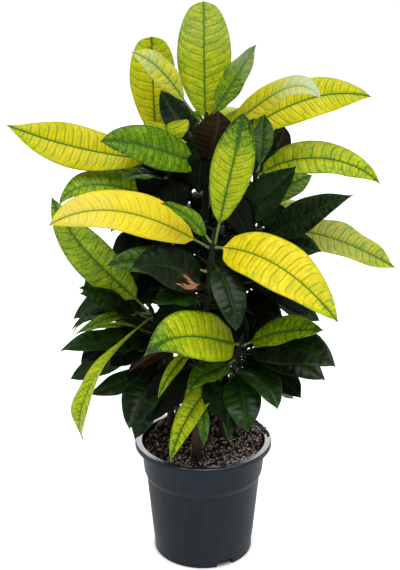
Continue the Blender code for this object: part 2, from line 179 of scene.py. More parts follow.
# how green a leaf is, from 0, full yellow, to 1, nearly black green, and how its pattern, gloss and painted
# reflection show
lookColumns = (
    "green", "patch", "fine", "tip", "edge", "vein", "midrib", "line", "rib",
    "net", "glow", "rough", "paintedReflectionBase", "paintedReflection", "quilt", "sheen", "rim",
)
leafLooks = {name: dict(zip(lookColumns, row)) for name, row in {
    "lemon": (0.03, 0.07, 0.07, 0.02, 0.08, 0.03, 0.1, 0.32, 0.8,
              0.06, 0.24, 0.44, 0.03, 0.15, 0.7, 0.24, "#D8C83A"),
    "yellow": (0.13, 0.18, 0.08, 0.24, 0.1, 0.05, 0.12, 0.62, 0.85,
               0.06, 0.24, 0.44, 0, 0, 0.7, 0.24, "#C4C436"),
    "bright": (0.2, 0.11, 0.1, 0.1, 0.05, 0.06, 0.11, 0.72, 0.9,
               0.09, 0.24, 0.42, 0, 0, 0.7, 0.24, "#B9C43C"),
    "mint": (0.27, 0.13, 0.12, 0.06, 0.02, 0.06, 0.1, 0.62, 0.85,
             0.08, 0.24, 0.36, 0.1, 0.28, 1, 0.3, "#DCE6C0"),
    "pale": (0.22, 0.09, 0.1, 0.1, 0.02, 0.05, 0.1, 0.55, 0.85,
             0.08, 0.24, 0.38, 0.02, 0.62, 0.9, 0.28, "#D3DC8E"),
    "lime": (0.34, 0.12, 0.12, 0.04, 0.06, 0.07, 0.11, 0.72, 0.9,
             0.09, 0.22, 0.4, 0, 0, 0.7, 0.24, "#9DB536"),
    "golden": (0.34, 0.11, 0.12, 0.36, 0.14, 0.06, 0.14, 0.7, 0.9,
               0.1, 0.22, 0.4, 0, 0, 0.8, 0.24, "#7E9A2A"),
    "olive": (0.53, 0.1, 0.11, 0.04, 0.05, 0.06, 0.09, 0.6, 0.8,
              0.09, 0.16, 0.36, 0, 0, 0.8, 0.28, "#7E9A2E"),
    "deep": (0.78, 0.07, 0.06, 0, 0.02, 0.04, 0.04, 0.35, 0.55,
             0.05, 0.06, 0.28, 0, 0, 1, 0.42, "#3F6122"),
    "crown": (0.38, 0.13, 0.12, 0.02, 0.05, 0.07, 0.1, 0.6, 0.85,
              0.09, 0.22, 0.4, 0, 0.1, 0.9, 0.26, "#AFC265"),
    "leafy": (0.61, 0.09, 0.09, 0, 0.03, 0.05, 0.06, 0.35, 0.6,
              0.05, 0.16, 0.3, 0, 0.2, 1, 0.36, "#8FA868"),
    "green": (0.64, 0.07, 0.08, 0.03, 0.03, 0.05, 0.08, 0.45, 0.65,
              0.07, 0.1, 0.3, 0, 0, 0.8, 0.36, "#587A2C"),
    # a pale lime leaf whose whitish look is a painted reflection
    "frost": (0.3, 0.14, 0.12, 0.06, -0.03, 0.08, 0.12, 0.75, 0.9,
              0.09, 0.38, 0.34, 0.17, 0.1, 1.5, 0.36, "#E6EFC8"),
    "glossy": (0.92, 0.05, 0.03, 0, -0.02, 0.02, -0.02, 0.15, 0.35,
               0.02, 0.02, 0.27, 0.02, 0, 1.4, 0.5, "#2A3A22"),
    "dark": (0.93, 0.05, 0.03, 0, -0.02, 0.02, -0.02, 0.15, 0.35,
             0.02, 0.02, 0.32, 0, 0, 0.7, 0.27, "#16260F"),
    # leaves within the shaded inside of the plant, painted nearly black as painted shade
    "shade": (1, 0.03, 0.02, 0, 0, 0, 0, 0.1, 0.3,
              0.02, 0, 0.55, 0, 0, 0.5, 0.07, "#0A1208"),
}.items()}
# each up to this much green
underSteps = [(0.45, "pale"), (0.85, "olive"), (1.0, "maroon")]
slotSteps = [(0.15, "leaf_yellow"), (0.58, "leaf_lime"), (0.85, "leaf_green"), (1.0, "leaf_dark")]

leafPattern = {  # colours and sizes that all leaves share
    "stops": [(0.0, "#FFEB26"), (0.16, "#F0D808"), (0.30, "#D0D00A"), (0.45, "#ACC00E"), (0.58, "#86A60A"),
              (0.72, "#507A08"), (0.86, "#1E4406"), (1.0, "#060D03")],
    "rib": "#3A661C",             # midrib of a bright leaf: a plain leaf green
    "darkRib": "#2A3F22",
    "line": "#3C620C",            # lateral veins
    "petiole": "#7A8C52",         # the stalk of a light leaf: pale grey green
    "darkPetiole": "#1B2812",
    "paintedReflection": "#D5E3C4",           # painted reflection of the bright surround on the waxy skin: pale mint
    "scar": "#D0935E",            # dried leaf: tan
    "patchScale": 70,             # blotches about 14 mm across
    "fineScale": 380,             # mottling about 2.6 mm across
    "netScale": 300,              # the net of small veins: cells of about 3.3 mm, coarser than the real ones
    "ribWidth": (0.6, 1.3),       # mm from its middle; drawn wider than the real one, so that it shows
    "lineWidth": (0.2, 0.75),     # mm from its middle; drawn about twice as wide as the real one
    "smallLineWidth": (0.1, 0.5),
    "spacing": 11.0,              # mm between two lateral veins
}


def leafUpper(name, look):
    # living leaf with a waxy skin, seen from above: a soft gloss over a mottled, veined colour, with a pale
    # painted reflection over some blades
    material, add = newMaterial(name)
    p = leafPattern
    place = add("Attribute", attribute_name="leafPlace").outputs["Vector"]
    size = add("Attribute", attribute_name="leafSize").outputs["Vector"]
    scar = add("Attribute", attribute_name="leafScar").outputs["Fac"]
    along, across, phase = add("SeparateXYZ", [place]).outputs
    ribDistance, rimDistance, own = add("SeparateXYZ", [size]).outputs
    spot = add("TexCoord").outputs["Object"]

    # blotches, streaks along the lateral veins, and mottling
    patch = add("TexNoise", {"Vector": spot, "Scale": p["patchScale"], "Detail": 2.0, "Roughness": 0.6})
    shifted = add("Math", [own, 40.0], operation="MULTIPLY")
    veinPlace = add("CombineXYZ", [phase, across, shifted])
    stretched = add("Mapping", {0: veinPlace, 3: (2.6, 1.8, 1.0)})
    streak = add("TexNoise", {"Vector": stretched, "Scale": 1.0, "Detail": 3.0, "Roughness": 0.65})
    blotch = add("Mix", {0: 0.6, 2: patch, 3: streak})
    fine = add("TexNoise", {"Vector": spot, "Scale": p["fineScale"], "Detail": 3.0, "Roughness": 0.65})
    patchGreen = add("MapRange", [blotch, 0.36, 0.64, -look["patch"], look["patch"]])
    fineGreen = add("MapRange", [fine, 0.3, 0.7, -look["fine"], look["fine"]])
    ownGreen = add("MapRange", [own, 0.0, 1.0, look["green"] - 0.04, look["green"] + 0.04])

    # lateral veins: lines of the vein count, bent towards the tip near the rim, where they join in arcs
    side = add("Math", [across], operation="ABSOLUTE")
    bow = add("MapRange", [side, 0.55, 0.95, 0.0, 0.75])
    bend = add("Math", [bow, 2.0], operation="POWER")
    wander = add("MapRange", [patch, 0.2, 0.8, -0.07, 0.07])
    bent = add("Math", [phase, bend], operation="SUBTRACT")
    wandered = add("Math", [bent, wander], operation="ADD")
    moved = add("Math", [wandered, 0.5], operation="ADD")
    part = add("Math", [moved], operation="FRACT")
    centred = add("Math", [part, 0.5], operation="SUBTRACT")
    apart = add("Math", [centred], operation="ABSOLUTE")
    lineDistance = add("Math", [apart, p["spacing"]], operation="MULTIPLY")
    lineMask = add("MapRange", [lineDistance, *p["lineWidth"], 1.0, 0.0], **eased)
    inside = add("MapRange", [rimDistance, 1.2, 9.0, 0.0, 1.0])
    onBlade = add("MapRange", [along, 0.01, 0.05, 0.0, 1.0])
    lines = add("Math", [lineMask, inside], operation="MULTIPLY")
    halo = add("MapRange", [lineDistance, 0.3, 2.6, look["vein"], 0.0], **eased)
    # a smaller vein half way between two, which fades out towards the rim
    between = add("Math", [0.5, apart], operation="SUBTRACT")
    smallDistance = add("Math", [between, p["spacing"]], operation="MULTIPLY")
    smallMask = add("MapRange", [smallDistance, *p["smallLineWidth"], 0.7, 0.0], **eased)
    fading = add("MapRange", [side, 0.3, 0.85, 1.0, 0.0])
    smallLines = add("Math", [smallMask, fading], operation="MULTIPLY")
    lines = add("Math", [lines, smallLines], operation="MAXIMUM")
    lines = add("Math", [lines, onBlade], operation="MULTIPLY")

    # midrib, rim, tip
    ribMask = add("MapRange", [ribDistance, *p["ribWidth"], 1.0, 0.0], **eased)
    ribHalo = add("MapRange", [ribDistance, 0.6, 4.5, look["midrib"], 0.0], **eased)
    rimGreen = add("MapRange", [rimDistance, 0.5, 6.0, look["edge"], 0.0], **eased)
    tipGreen = add("MapRange", [along, 0.55, 1.0, 0.0, look["tip"]], **eased)
    # the rim line: the margin's own colour, and on the pale looks a near white painted highlight along the
    # edge
    rimMask = add("MapRange", [rimDistance, 0.3, 1.0, 0.6, 0.0], **eased)

    # net of small veins
    net = add("TexVoronoi", {"Vector": spot, "Scale": p["netScale"]}, feature="DISTANCE_TO_EDGE")
    netMask = add("MapRange", [net, 0.02, 0.24, look["net"], 0.0], **eased)

    green = ownGreen
    for more in (patchGreen, fineGreen, halo, ribHalo, rimGreen, tipGreen, netMask):
        green = add("Math", [green, more], operation="ADD")
    colour = add("ValToRGB", [green], stops=p["stops"])
    dark = look["green"] > 0.8
    veined = add("Math", [lines, look["line"]], operation="MULTIPLY")
    ribbed = add("Math", [ribMask, look["rib"]], operation="MULTIPLY")
    stalk = add("MapRange", [along, -0.01, 0.02, 1.0, 0.0])
    # a dried streak breaks up into speckles
    onScar = add("Mapping", {0: place, 3: (7.0, 16.0, 0.0)})
    streaks = add("TexNoise", {"Vector": onScar, "Scale": 1.0, "Detail": 3.0, "Roughness": 0.7})
    scarPlace = add("Math", [scar, streaks], operation="MULTIPLY")
    dried = add("MapRange", [scarPlace, 0.30, 0.36, 0.0, 1.0])
    layers = [
        (veined, p["darkRib"] if dark else p["line"]),
        (ribbed, p["darkRib"] if dark else p["rib"]),
        (rimMask, look["rim"]),
        (dried, p["scar"]),
        (stalk, p["darkPetiole"] if dark else p["petiole"]),
    ]
    if look["paintedReflection"]:
        # painted reflection: a pale mint sheen over the blade, thicker towards the tip
        outer = add("MapRange", [along, 0.45, 0.80, look["paintedReflectionBase"], look["paintedReflection"]], **eased)
        broken = add("MapRange", [patch, 0.30, 0.55, 0.45, 1.0])
        paintedReflection = add("Math", [outer, broken], operation="MULTIPLY")
        layers.insert(3, (paintedReflection, p["paintedReflection"]))
    for share, shown in layers:
        colour = add("Mix", {0: share, 6: colour, 7: linear(shown)}, **inColour)

    # waxy skin: roughness wanders a little, and the veins are pressed in
    gloss = add("MapRange", [fine, 0.3, 0.7, look["rough"] - 0.05, look["rough"] + 0.07])
    height = add("Math", [netMask, -0.6], operation="MULTIPLY")
    height = add("Math", [height, fine], operation="ADD")
    height = add("Math", [height, lines], operation="SUBTRACT")
    bump = add("Bump", {"Height": height, "Strength": 0.35, "Distance": 0.0004})
    skin = add("BsdfPrincipled", {
        "Base Color": colour, "Roughness": gloss, "IOR": 1.45, "Specular IOR Level": look["sheen"],
        "Normal": bump,
    })
    through = add("BsdfTranslucent", {"Color": colour})
    mixed = add("MixShader", [look["glow"], skin, through])
    add("OutputMaterial", [mixed])
    return material


undersides = {  # of a light leaf, of a green one and of a dark one, which is purple brown below
    "pale": dict(base="#A9B430", deep="#7C961C", vein="#8FA33A", rough=0.55, glow=0.30, dark=False),
    "olive": dict(base="#6F861E", deep="#4A6612", vein="#7F9440", rough=0.52, glow=0.18, dark=False),
    "maroon": dict(base="#2C2008", deep="#191105", vein="#3E2F18", rough=0.60, glow=0.02, dark=True),
}


def leafUnder(name, look):
    # underside of the same leaf: no wax, so duller, with raised veins of a paler colour
    material, add = newMaterial(name)
    p = leafPattern
    place = add("Attribute", attribute_name="leafPlace").outputs["Vector"]
    size = add("Attribute", attribute_name="leafSize").outputs["Vector"]
    along, _, phase = add("SeparateXYZ", [place]).outputs
    ribDistance = add("SeparateXYZ", [size])
    spot = add("TexCoord").outputs["Object"]
    patch = add("TexNoise", {"Vector": spot, "Scale": p["patchScale"], "Detail": 4.0, "Roughness": 0.6})
    fine = add("TexNoise", {"Vector": spot, "Scale": p["fineScale"], "Detail": 2.0})
    blotch = add("MapRange", [patch, 0.35, 0.65, 0.0, 1.0])
    colour = add("Mix", {0: blotch, 6: linear(look["base"]), 7: linear(look["deep"])}, **inColour)
    moved = add("Math", [phase, 0.5], operation="ADD")
    part = add("Math", [moved], operation="FRACT")
    centred = add("Math", [part, 0.5], operation="SUBTRACT")
    apart = add("Math", [centred], operation="ABSOLUTE")
    lines = add("MapRange", [apart, 0.05, 0.13, 0.6, 0.0], **eased)
    rib = add("MapRange", [ribDistance, 0.9, 1.9, 1.0, 0.0], **eased)
    veins = add("Math", [lines, rib], operation="MAXIMUM")
    stalk = add("MapRange", [along, -0.01, 0.03, 1.0, 0.0])
    petiole = p["darkPetiole"] if look["dark"] else p["petiole"]
    for share, shown in ((veins, look["vein"]), (stalk, petiole)):
        colour = add("Mix", {0: share, 6: colour, 7: linear(shown)}, **inColour)
    height = add("Math", [veins, fine], operation="ADD")
    bump = add("Bump", {"Height": height, "Strength": 0.4, "Distance": 0.0004})
    dull = add("MapRange", [fine, 0.3, 0.7, look["rough"] - 0.06, look["rough"] + 0.08])
    skin = add("BsdfPrincipled", {
        "Base Color": colour, "Roughness": dull, "IOR": 1.42, "Specular IOR Level": 0.2,
        "Normal": bump,
    })
    through = add("BsdfTranslucent", {"Color": colour})
    mixed = add("MixShader", [look["glow"], skin, through])
    add("OutputMaterial", [mixed])
    return material


upperMaterials = {
    name: leafUpper("waxyLeaf" + name.capitalize(), look) for name, look in leafLooks.items()
}
underMaterials = {
    name: leafUnder("dullUnderside" + name.capitalize(), look) for name, look in undersides.items()
}
slotOf = {part["node"]: part["material_slot"] for part in frame["record"]["subparts"]}
print("leaf materials made")


# pot, soil and stems: sizes that the leaves need too

potShape = {  # mm, the same as the CAD pot's, but for its ridges and the step under its collar
    "height": 165, "rim": 95, "lipHeight": 7, "lipRound": 2.2, "collarTop": 86.8,
    "collarFoot": (82.8, 121), "shoulder": (79.2, 113), "ridge": (0.9, 18), "foot": 68.7, "lipSteps": 6,
    "wall": 1.8, "footRing": 4, "floor": (12, 2), "steps": 160,
    "notch": (24, 24, 8), "notchAt": (-64, 56, 176), "notchBevel": 1.6,
    "drain": 5, "drainCircle": 45, "drains": 6, "drainSides": 28, "drainDeep": 12, "sharp": 38,
    "polished": (0.6, 0.5),   # how far down the lip's round, and how much its faces look up
}
soilShape = {  # mm, the same as the CAD soil's: it lies higher at the back, with a heap along the wall
    "edge": 152, "middle": 7, "backRise": 8, "heapRise": 16, "heapAzimuth": 70, "heapDistance": 66,
    "heapSpread": 20, "slopeStart": -20, "slopeEnd": 40, "edgePower": 14,
}
stemShapes = {  # mm: foot x, y on the soil, top x, y, z, and foot radius
    "back": ((0, 42), (4, 20, 606), 6.5),
    "left": ((-46, 34), (-46, 10, 573), 5.5),
    "right": ((44, 36), (70, 30, 545), 5.5),
    "front": ((-10, -52), (12, -88, 476), 6.5),
    "left_low": ((-28, -4), (-69, -40, 370), 5.0),
    "right_low": ((26, 6), (48, -93, 347), 5.5),
}


def potInside(z):
    # radius of the pot's inner wall, in mm
    s = potShape
    places = [
        (s["foot"] + s["ridge"][0] - s["wall"], sum(s["floor"])),
        (s["shoulder"][0] - s["wall"], s["shoulder"][1] + s["wall"] / 2),
        (s["collarFoot"][0] - s["wall"], s["collarFoot"][1] + s["wall"] / 2),
        (s["collarTop"] - s["lipRound"], s["height"] - s["lipRound"]),
    ]
    return float(np.interp(z, [b for _, b in places], [a for a, _ in places]))


def soilHeight(x, y):
    # height of the soil's surface, in mm
    s = soilShape
    share = np.minimum(np.hypot(x, y) / potInside(s["edge"]), 1.0)
    towards = direction(s["heapAzimuth"], 0)
    rise = smooth(x * towards[0] + y * towards[1], s["slopeStart"], s["slopeEnd"])
    away = (np.hypot(x, y) - s["heapDistance"]) / s["heapSpread"]
    heap = s["heapRise"] * np.exp(-away * away) * (1 - share ** s["edgePower"])
    return s["edge"] + s["middle"] * np.cos(share * math.pi / 2) + rise * (s["backRise"] + heap)


def stemPoint(stem, z):
    # middle of a stem at a height, in mm: straight below, and bent over towards its top
    (x0, y0), (x1, y1, z1), _ = stemShapes[stem]
    z0 = soilHeight(x0, y0)
    bow = max(0.0, (z - z0) / (z1 - z0)) ** 1.3
    return np.array([x0 + (x1 - x0) * bow, y0 + (y1 - y0) * bow, z])


def stemSlope(stem, z):
    return unit(stemPoint(stem, z + 1) - stemPoint(stem, z - 1))


def stemRadius(stem, z):
    (x0, y0), (_, _, z1), radius = stemShapes[stem]
    z0 = soilHeight(x0, y0)
    return radius * (1 - 0.45 * max(0.0, (z - z0) / (z1 - z0)))


# leaves

# each leaf that the CAD has: height of its foot on the stem, tip x, y, z and blade width in mm, how far
# along it is widest, its slope at foot and tip in degrees, stalk share of its length, azimuth and
# elevation that its upper face looks to, fold along the midrib in degrees, and its look
leafShapes = {
    "back": [
        (590, (0, 45, 750), 70, 0.56, 75, 85, 0.08, (-90, 5), 12, "crown"),
        (596, (-90, 10, 690), 32, 0.60, 50, 20, 0.15, (-110, 50), 15, "mint"),
        (602, (65, 0, 700), 42, 0.46, 60, 60, 0.12, (-130, 15), 16, "leafy"),
        (580, (140, -60, 640), 44, 0.52, 24, -50, 0.12, (-70, 45), 12, "pale"),
        (560, (220, 45, 630), 54, 0.54, 33, -15, 0.15, (-85, 30), 12, "bright"),
        (548, (-125, -70, 590), 55, 0.50, 15, 0, 0.06, (-90, 30), 14, "green"),
        (540, (18, -45, 625), 56, 0.55, 60, 85, 0.12, (90, 10), 12, "dark"),
        (575, (70, 160, 600), 56, 0.46, 40, -10, 0.12, (70, 70), 14, "lime"),
        (530, (-60, 190, 560), 58, 0.46, 35, -30, 0.12, (100, 60), 14, "lime"),
        (480, (50, 185, 480), 56, 0.46, 25, -35, 0.12, (80, 60), 14, "green"),
        (455, (115, -40, 555), 54, 0.46, 30, 50, 0.20, (-120, 25), 14, "dark"),
    ],
    "left": [
        (552, (-255, 10, 600), 60, 0.52, 5, 22, 0.10, (-88, 30), 12, "bright"),
        (480, (-185, -15, 500), 52, 0.46, 55, -65, 0.12, (-125, 45), 14, "olive"),
        (540, (-160, 75, 545), 40, 0.46, 10, 0, 0.12, (-100, 45), 14, "dark"),
        (530, (-100, -60, 540), 40, 0.46, 15, -20, 0.12, (-95, 65), 14, "deep"),
        (566, (-50, 50, 592), 60, 0.46, 70, -45, 0.12, (-90, 60), 28, "lime"),
        (545, (-68, 75, 705), 62, 0.64, 0, 85, 0.30, (-90, 0), 10, "bright"),
        (470, (-160, 125, 455), 54, 0.46, 25, -35, 0.12, (140, 60), 14, "green"),
        (430, (-85, 165, 400), 52, 0.46, 20, -40, 0.12, (110, 55), 14, "dark"),
    ],
    "right": [
        (530, (232, 20, 520), 50, 0.50, 38, -45, 0.10, (-70, 40), 14, "lime"),
        (440, (190, -40, 520), 54, 0.46, 25, 25, 0.12, (-110, 45), 16, "glossy"),
        (490, (150, 85, 520), 40, 0.46, 15, 10, 0.15, (-90, 45), 14, "olive"),
        (450, (260, 20, 405), 42, 0.46, 15, -30, 0.24, (-88, 45), 16, "frost"),
        (515, (106, 64, 580), 50, 0.55, 60, 80, 0.12, (90, 10), 10, "dark"),
        (460, (160, 140, 460), 54, 0.46, 25, -30, 0.12, (40, 60), 14, "lime"),
        (410, (170, 95, 360), 52, 0.46, 15, -45, 0.12, (20, 55), 14, "dark"),
        (390, (75, 180, 350), 54, 0.46, 20, -40, 0.12, (80, 55), 14, "dark"),
    ],
    "front": [
        (468, (45, -130, 632), 58, 0.56, 75, 75, 0.16, (-90, 8), 10, "golden"),
        (462, (-180, -150, 505), 58, 0.50, 35, -30, 0.18, (-95, 40), 14, "lemon"),
        (464, (155, -190, 400), 70, 0.44, 10, -45, 0.05, (-80, 40), 12, "yellow"),
        (470, (-50, -140, 530), 24, 0.46, 55, 20, 0.12, (-115, 45), 16, "green"),
        (410, (-85, -150, 455), 56, 0.46, 40, -5, 0.08, (-95, 35), 14, "dark"),
        (392, (-60, -135, 406), 40, 0.46, 20, -10, 0.12, (-100, 60), 14, "dark"),
        (430, (-120, -95, 442), 44, 0.46, 20, -15, 0.12, (-100, 50), 14, "green"),
        (445, (38, -155, 378), 40, 0.46, -10, -85, 0.12, (-80, 25), 14, "dark"),
    ],
    "left_low": [
        (357, (-146, -170, 245), 34, 0.55, 0, -120, 0.12, (-150, 20), 20, "lime"),
        (364, (-182, -100, 530), 52, 0.46, 50, 70, 0.12, (-105, 25), 14, "olive"),
        (345, (-152, -115, 420), 28, 0.46, 25, 15, 0.12, (-110, 50), 16, "dark"),
        (338, (-170, -60, 345), 26, 0.46, 40, -60, 0.12, (-150, 50), 16, "dark"),
        (316, (-178, -115, 338), 40, 0.46, 15, -10, 0.12, (-110, 50), 16, "dark"),
        (276, (-155, -20, 240), 33, 0.50, -8, -15, 0.15, (-110, 45), 14, "dark"),
        (284, (-95, -110, 230), 56, 0.50, -5, -50, 0.08, (-115, 40), 16, "dark"),
        (320, (-150, 80, 320), 50, 0.46, 20, -35, 0.12, (150, 55), 14, "dark"),
    ],
    "right_low": [
        (338, (-70, -190, 360), 66, 0.48, 22, -30, 0.06, (-98, 35), 16, "golden"),
        (336, (140, -170, 385), 44, 0.46, 35, 10, 0.12, (-90, 50), 18, "olive"),
        (325, (155, -180, 343), 52, 0.46, 25, -20, 0.12, (-90, 50), 18, "dark"),
        (318, (145, -110, 355), 40, 0.46, 20, 0, 0.12, (-80, 60), 14, "dark"),
        (300, (90, -150, 275), 46, 0.46, 10, -60, 0.12, (-60, 35), 16, "dark"),
        (292, (53, -140, 240), 48, 0.50, -10, -75, 0.08, (-95, 30), 16, "dark"),
        (250, (130, 40, 205), 40, 0.46, 10, -50, 0.15, (-30, 50), 14, "dark"),
        (310, (-20, -140, 295), 34, 0.46, -10, -40, 0.12, (-110, 40), 14, "green"),
        (286, (-42, -128, 195), 30, 0.46, -5, -70, 0.12, (-100, 30), 24, "lime"),
    ],
}

# small and half-hidden leaves, in the same way: these have no node of their own in the CAD; the nearly black
# ones are painted shade in the plant's inside
smallShapes = {
    "back": [
        (586, (71, -8, 618), 34, 0.60, 50, 50, 0.12, (-90, 25), 12, "lime"),
        (566, (62, -50, 616), 20, 0.5, 55, 50, 0.12, (-90, 25), 14, "dark"),
        (598, (-16, -12, 617), 16, 0.5, 60, 20, 0.12, (-90, 40), 14, "green"),
        (560, (-56, 60, 638), 40, 0.5, 60, 60, 0.12, (-90, 15), 12, "dark"),
        (588, (22, 60, 668), 26, 0.5, 70, 70, 0.12, (-90, 10), 12, "green"),
        (566, (-60, 22, 508), 50, 0.5, -10, -50, 0.12, (-100, 35), 14, "shade"),
        (575, (-24, 8, 528), 40, 0.5, -10, -70, 0.12, (-90, 25), 14, "shade"),
        (570, (-6, 0, 512), 40, 0.5, -40, -85, 0.06, (-90, 15), 14, "shade"),
        (520, (60, -40, 455), 46, 0.5, -10, -60, 0.12, (-80, 35), 14, "shade"),
        (570, (-30, 60, 492), 46, 0.5, -30, -80, 0.08, (-90, 20), 14, "shade"),
        (560, (-80, 52, 490), 42, 0.5, -20, -50, 0.10, (-100, 30), 14, "shade"),
        (482, (-14, 48, 416), 40, 0.5, -50, -85, 0.08, (-90, 10), 14, "shade"),
    ],
    "left": [
        (505, (-118, -40, 470), 34, 0.5, 10, -50, 0.12, (-100, 45), 14, "green"),
        (530, (-33, -14, 490), 44, 0.5, -10, -70, 0.12, (-80, 25), 14, "shade"),
        (400, (-84, -42, 372), 52, 0.5, 0, -50, 0.12, (-110, 40), 14, "shade"),
        (455, (-118, -30, 425), 50, 0.5, 10, -40, 0.12, (-110, 45), 14, "shade"),
        (550, (-80, 6, 505), 42, 0.5, -20, -60, 0.10, (-100, 30), 14, "shade"),
        (425, (-164, 14, 372), 44, 0.5, 20, -50, 0.12, (-110, 45), 14, "dark"),
        (390, (-176, 4, 338), 40, 0.5, 10, -40, 0.12, (-110, 45), 14, "dark"),
        (442, (-114, 40, 384), 42, 0.5, 0, -50, 0.12, (-110, 40), 14, "shade"),
        (322, (-68, 16, 252), 38, 0.5, -40, -85, 0.10, (-100, 15), 14, "shade"),
    ],
    "right": [
        (535, (104, 52, 590), 22, 0.5, 60, 40, 0.12, (-90, 20), 14, "dark"),
        (528, (108, 62, 590), 40, 0.62, 60, 75, 0.12, (90, 10), 12, "dark"),
        (440, (156, 0, 434), 42, 0.5, 15, -10, 0.12, (-90, 45), 14, "dark"),
        (470, (120, 40, 462), 46, 0.5, 10, -20, 0.12, (-90, 40), 14, "shade"),
        (452, (122, -8, 436), 44, 0.5, 5, -30, 0.12, (-90, 40), 14, "shade"),
        (535, (78, 18, 612), 30, 0.6, 70, 80, 0.12, (-90, 12), 12, "deep"),
        (400, (134, -52, 362), 50, 0.5, 0, -40, 0.12, (-80, 40), 14, "shade"),
        (374, (162, 38, 324), 44, 0.5, 10, -30, 0.12, (-80, 45), 14, "dark"),
        (372, (67, 38, 282), 46, 0.5, -40, -85, 0.08, (-90, 15), 14, "shade"),
        (380, (92, -40, 322), 46, 0.5, -20, -60, 0.12, (-80, 35), 14, "shade"),
    ],
    "front": [
        (338, (-56, -135, 284), 16, 0.5, -20, -60, 0.12, (-100, 35), 14, "lime"),
        (290, (-21, -97, 234), 17, 0.5, -25, -70, 0.12, (-90, 30), 14, "lime"),
        (262, (1, -114, 208), 16, 0.5, -10, -70, 0.12, (-95, 25), 14, "green"),
        (334, (-98, -45, 283), 38, 0.5, 0, -40, 0.12, (90, 35), 12, "dark"),
        (304, (-72, -96, 232), 44, 0.5, -10, -60, 0.12, (-100, 30), 14, "shade"),
        (300, (-42, -66, 240), 40, 0.5, -20, -70, 0.12, (-100, 30), 14, "shade"),
        (290, (22, -104, 240), 34, 0.5, -20, -75, 0.12, (-80, 25), 14, "shade"),
        (380, (-60, -60, 340), 50, 0.5, 0, -50, 0.12, (-100, 35), 14, "shade"),
        (372, (50, -70, 322), 50, 0.5, 0, -60, 0.12, (-80, 35), 14, "shade"),
    ],
    "left_low": [
        (352, (-178, 0, 316), 9, 0.5, 25, -70, 0.12, (-120, 45), 14, "green"),
        (330, (-164, -20, 321), 9, 0.5, 20, -50, 0.12, (-120, 45), 14, "lime"),
        (362, (-160, -110, 357), 16, 0.5, 20, -20, 0.12, (-110, 45), 14, "green"),
        (356, (-158, -58, 394), 40, 0.5, 30, 0, 0.12, (-110, 50), 14, "dark"),
        (332, (-156, -92, 313), 46, 0.5, 10, -30, 0.12, (-110, 45), 14, "dark"),
        (326, (-121, -62, 296), 44, 0.5, 0, -40, 0.12, (-110, 40), 14, "shade"),
        (360, (-24, -70, 330), 46, 0.5, 0, -50, 0.12, (-80, 35), 14, "shade"),
        (300, (-96, -60, 262), 38, 0.5, 0, -50, 0.12, (-110, 40), 14, "shade"),
        (302, (-182, -8, 256), 42, 0.5, 10, -30, 0.12, (-110, 45), 14, "dark"),
        (262, (-92, -58, 190), 38, 0.5, -10, -60, 0.10, (-110, 30), 14, "dark"),
    ],
    "right_low": [
        (262, (32, -118, 214), 20, 0.5, -20, -60, 0.12, (-80, 30), 14, "dark"),
        (322, (150, -132, 306), 44, 0.5, 10, -30, 0.12, (-80, 45), 14, "dark"),
        (308, (123, -108, 272), 42, 0.5, 0, -50, 0.12, (-80, 40), 14, "shade"),
        (300, (84, -70, 290), 40, 0.5, 0, -50, 0.12, (-80, 40), 14, "shade"),
        (335, (118, -60, 350), 46, 0.5, 20, -20, 0.12, (-80, 50), 14, "shade"),
        (290, (6, -78, 252), 34, 0.5, -10, -60, 0.12, (-100, 30), 14, "shade"),
    ],
}

leafBuild = {
    "veinSpacing": leafPattern["spacing"],
    "rowsPerVein": 6,
    "columns": (0.0, 0.035, 0.08, 0.16, 0.28, 0.42, 0.56, 0.70, 0.83, 0.93, 1.0),
    "stalkRows": 9,
    "stalkRadius": 1.5,       # mm
    "footSwelling": 1.1,      # mm more where the stalk meets the stem
    "sag": 0.6,               # of its radius: how far the stalk lies below the blade's middle
    "thick": 0.45,            # mm, blade
    "ribThick": 1.5,          # mm more under the midrib
    "baseFull": 0.62,         # fullness towards the stalk: higher is more wedge-shaped
    "tipFull": 0.70,          # fullness towards the tip
    "lean": 0.055,            # how far the lateral veins run towards the tip
    "camber": 0.10,           # how much each half of the blade curves down to its rim
    "wave": 1.3,              # mm that the rim waves
    "drawnTip": 0.035,        # length of the drawn-out point
    "scar": None,
    "scarReach": (0.075, 0.24),   # how far a dried streak reaches along and across the blade
    "widen": 1.0,             # the blade's width against its shape's
    "pull": 0.36,             # of the leaf's reach: how far its slopes at foot and tip carry
    "jitter": (0.92, 1.08),   # how the count of lateral veins varies
    "veinShift": 0.37,        # how far the veins of one half lie off those of the other, in veins
    "quiltWidth": 18,         # mm: half a blade this wide is fully quilted
    "groove": (0.55, 1.2),    # mm deep and wide, along the midrib above
    "ridgeWidth": 1.4,        # mm, of the midrib below
    "ribs": 0.25,             # mm that the lateral veins stand out below
    "sunk": 2.2,              # mm that the foot lies within the stem
    "footReach": 3.0,         # mm along the stalk
    "waveCount": (1.6, 3.0),  # waves along a rim
}

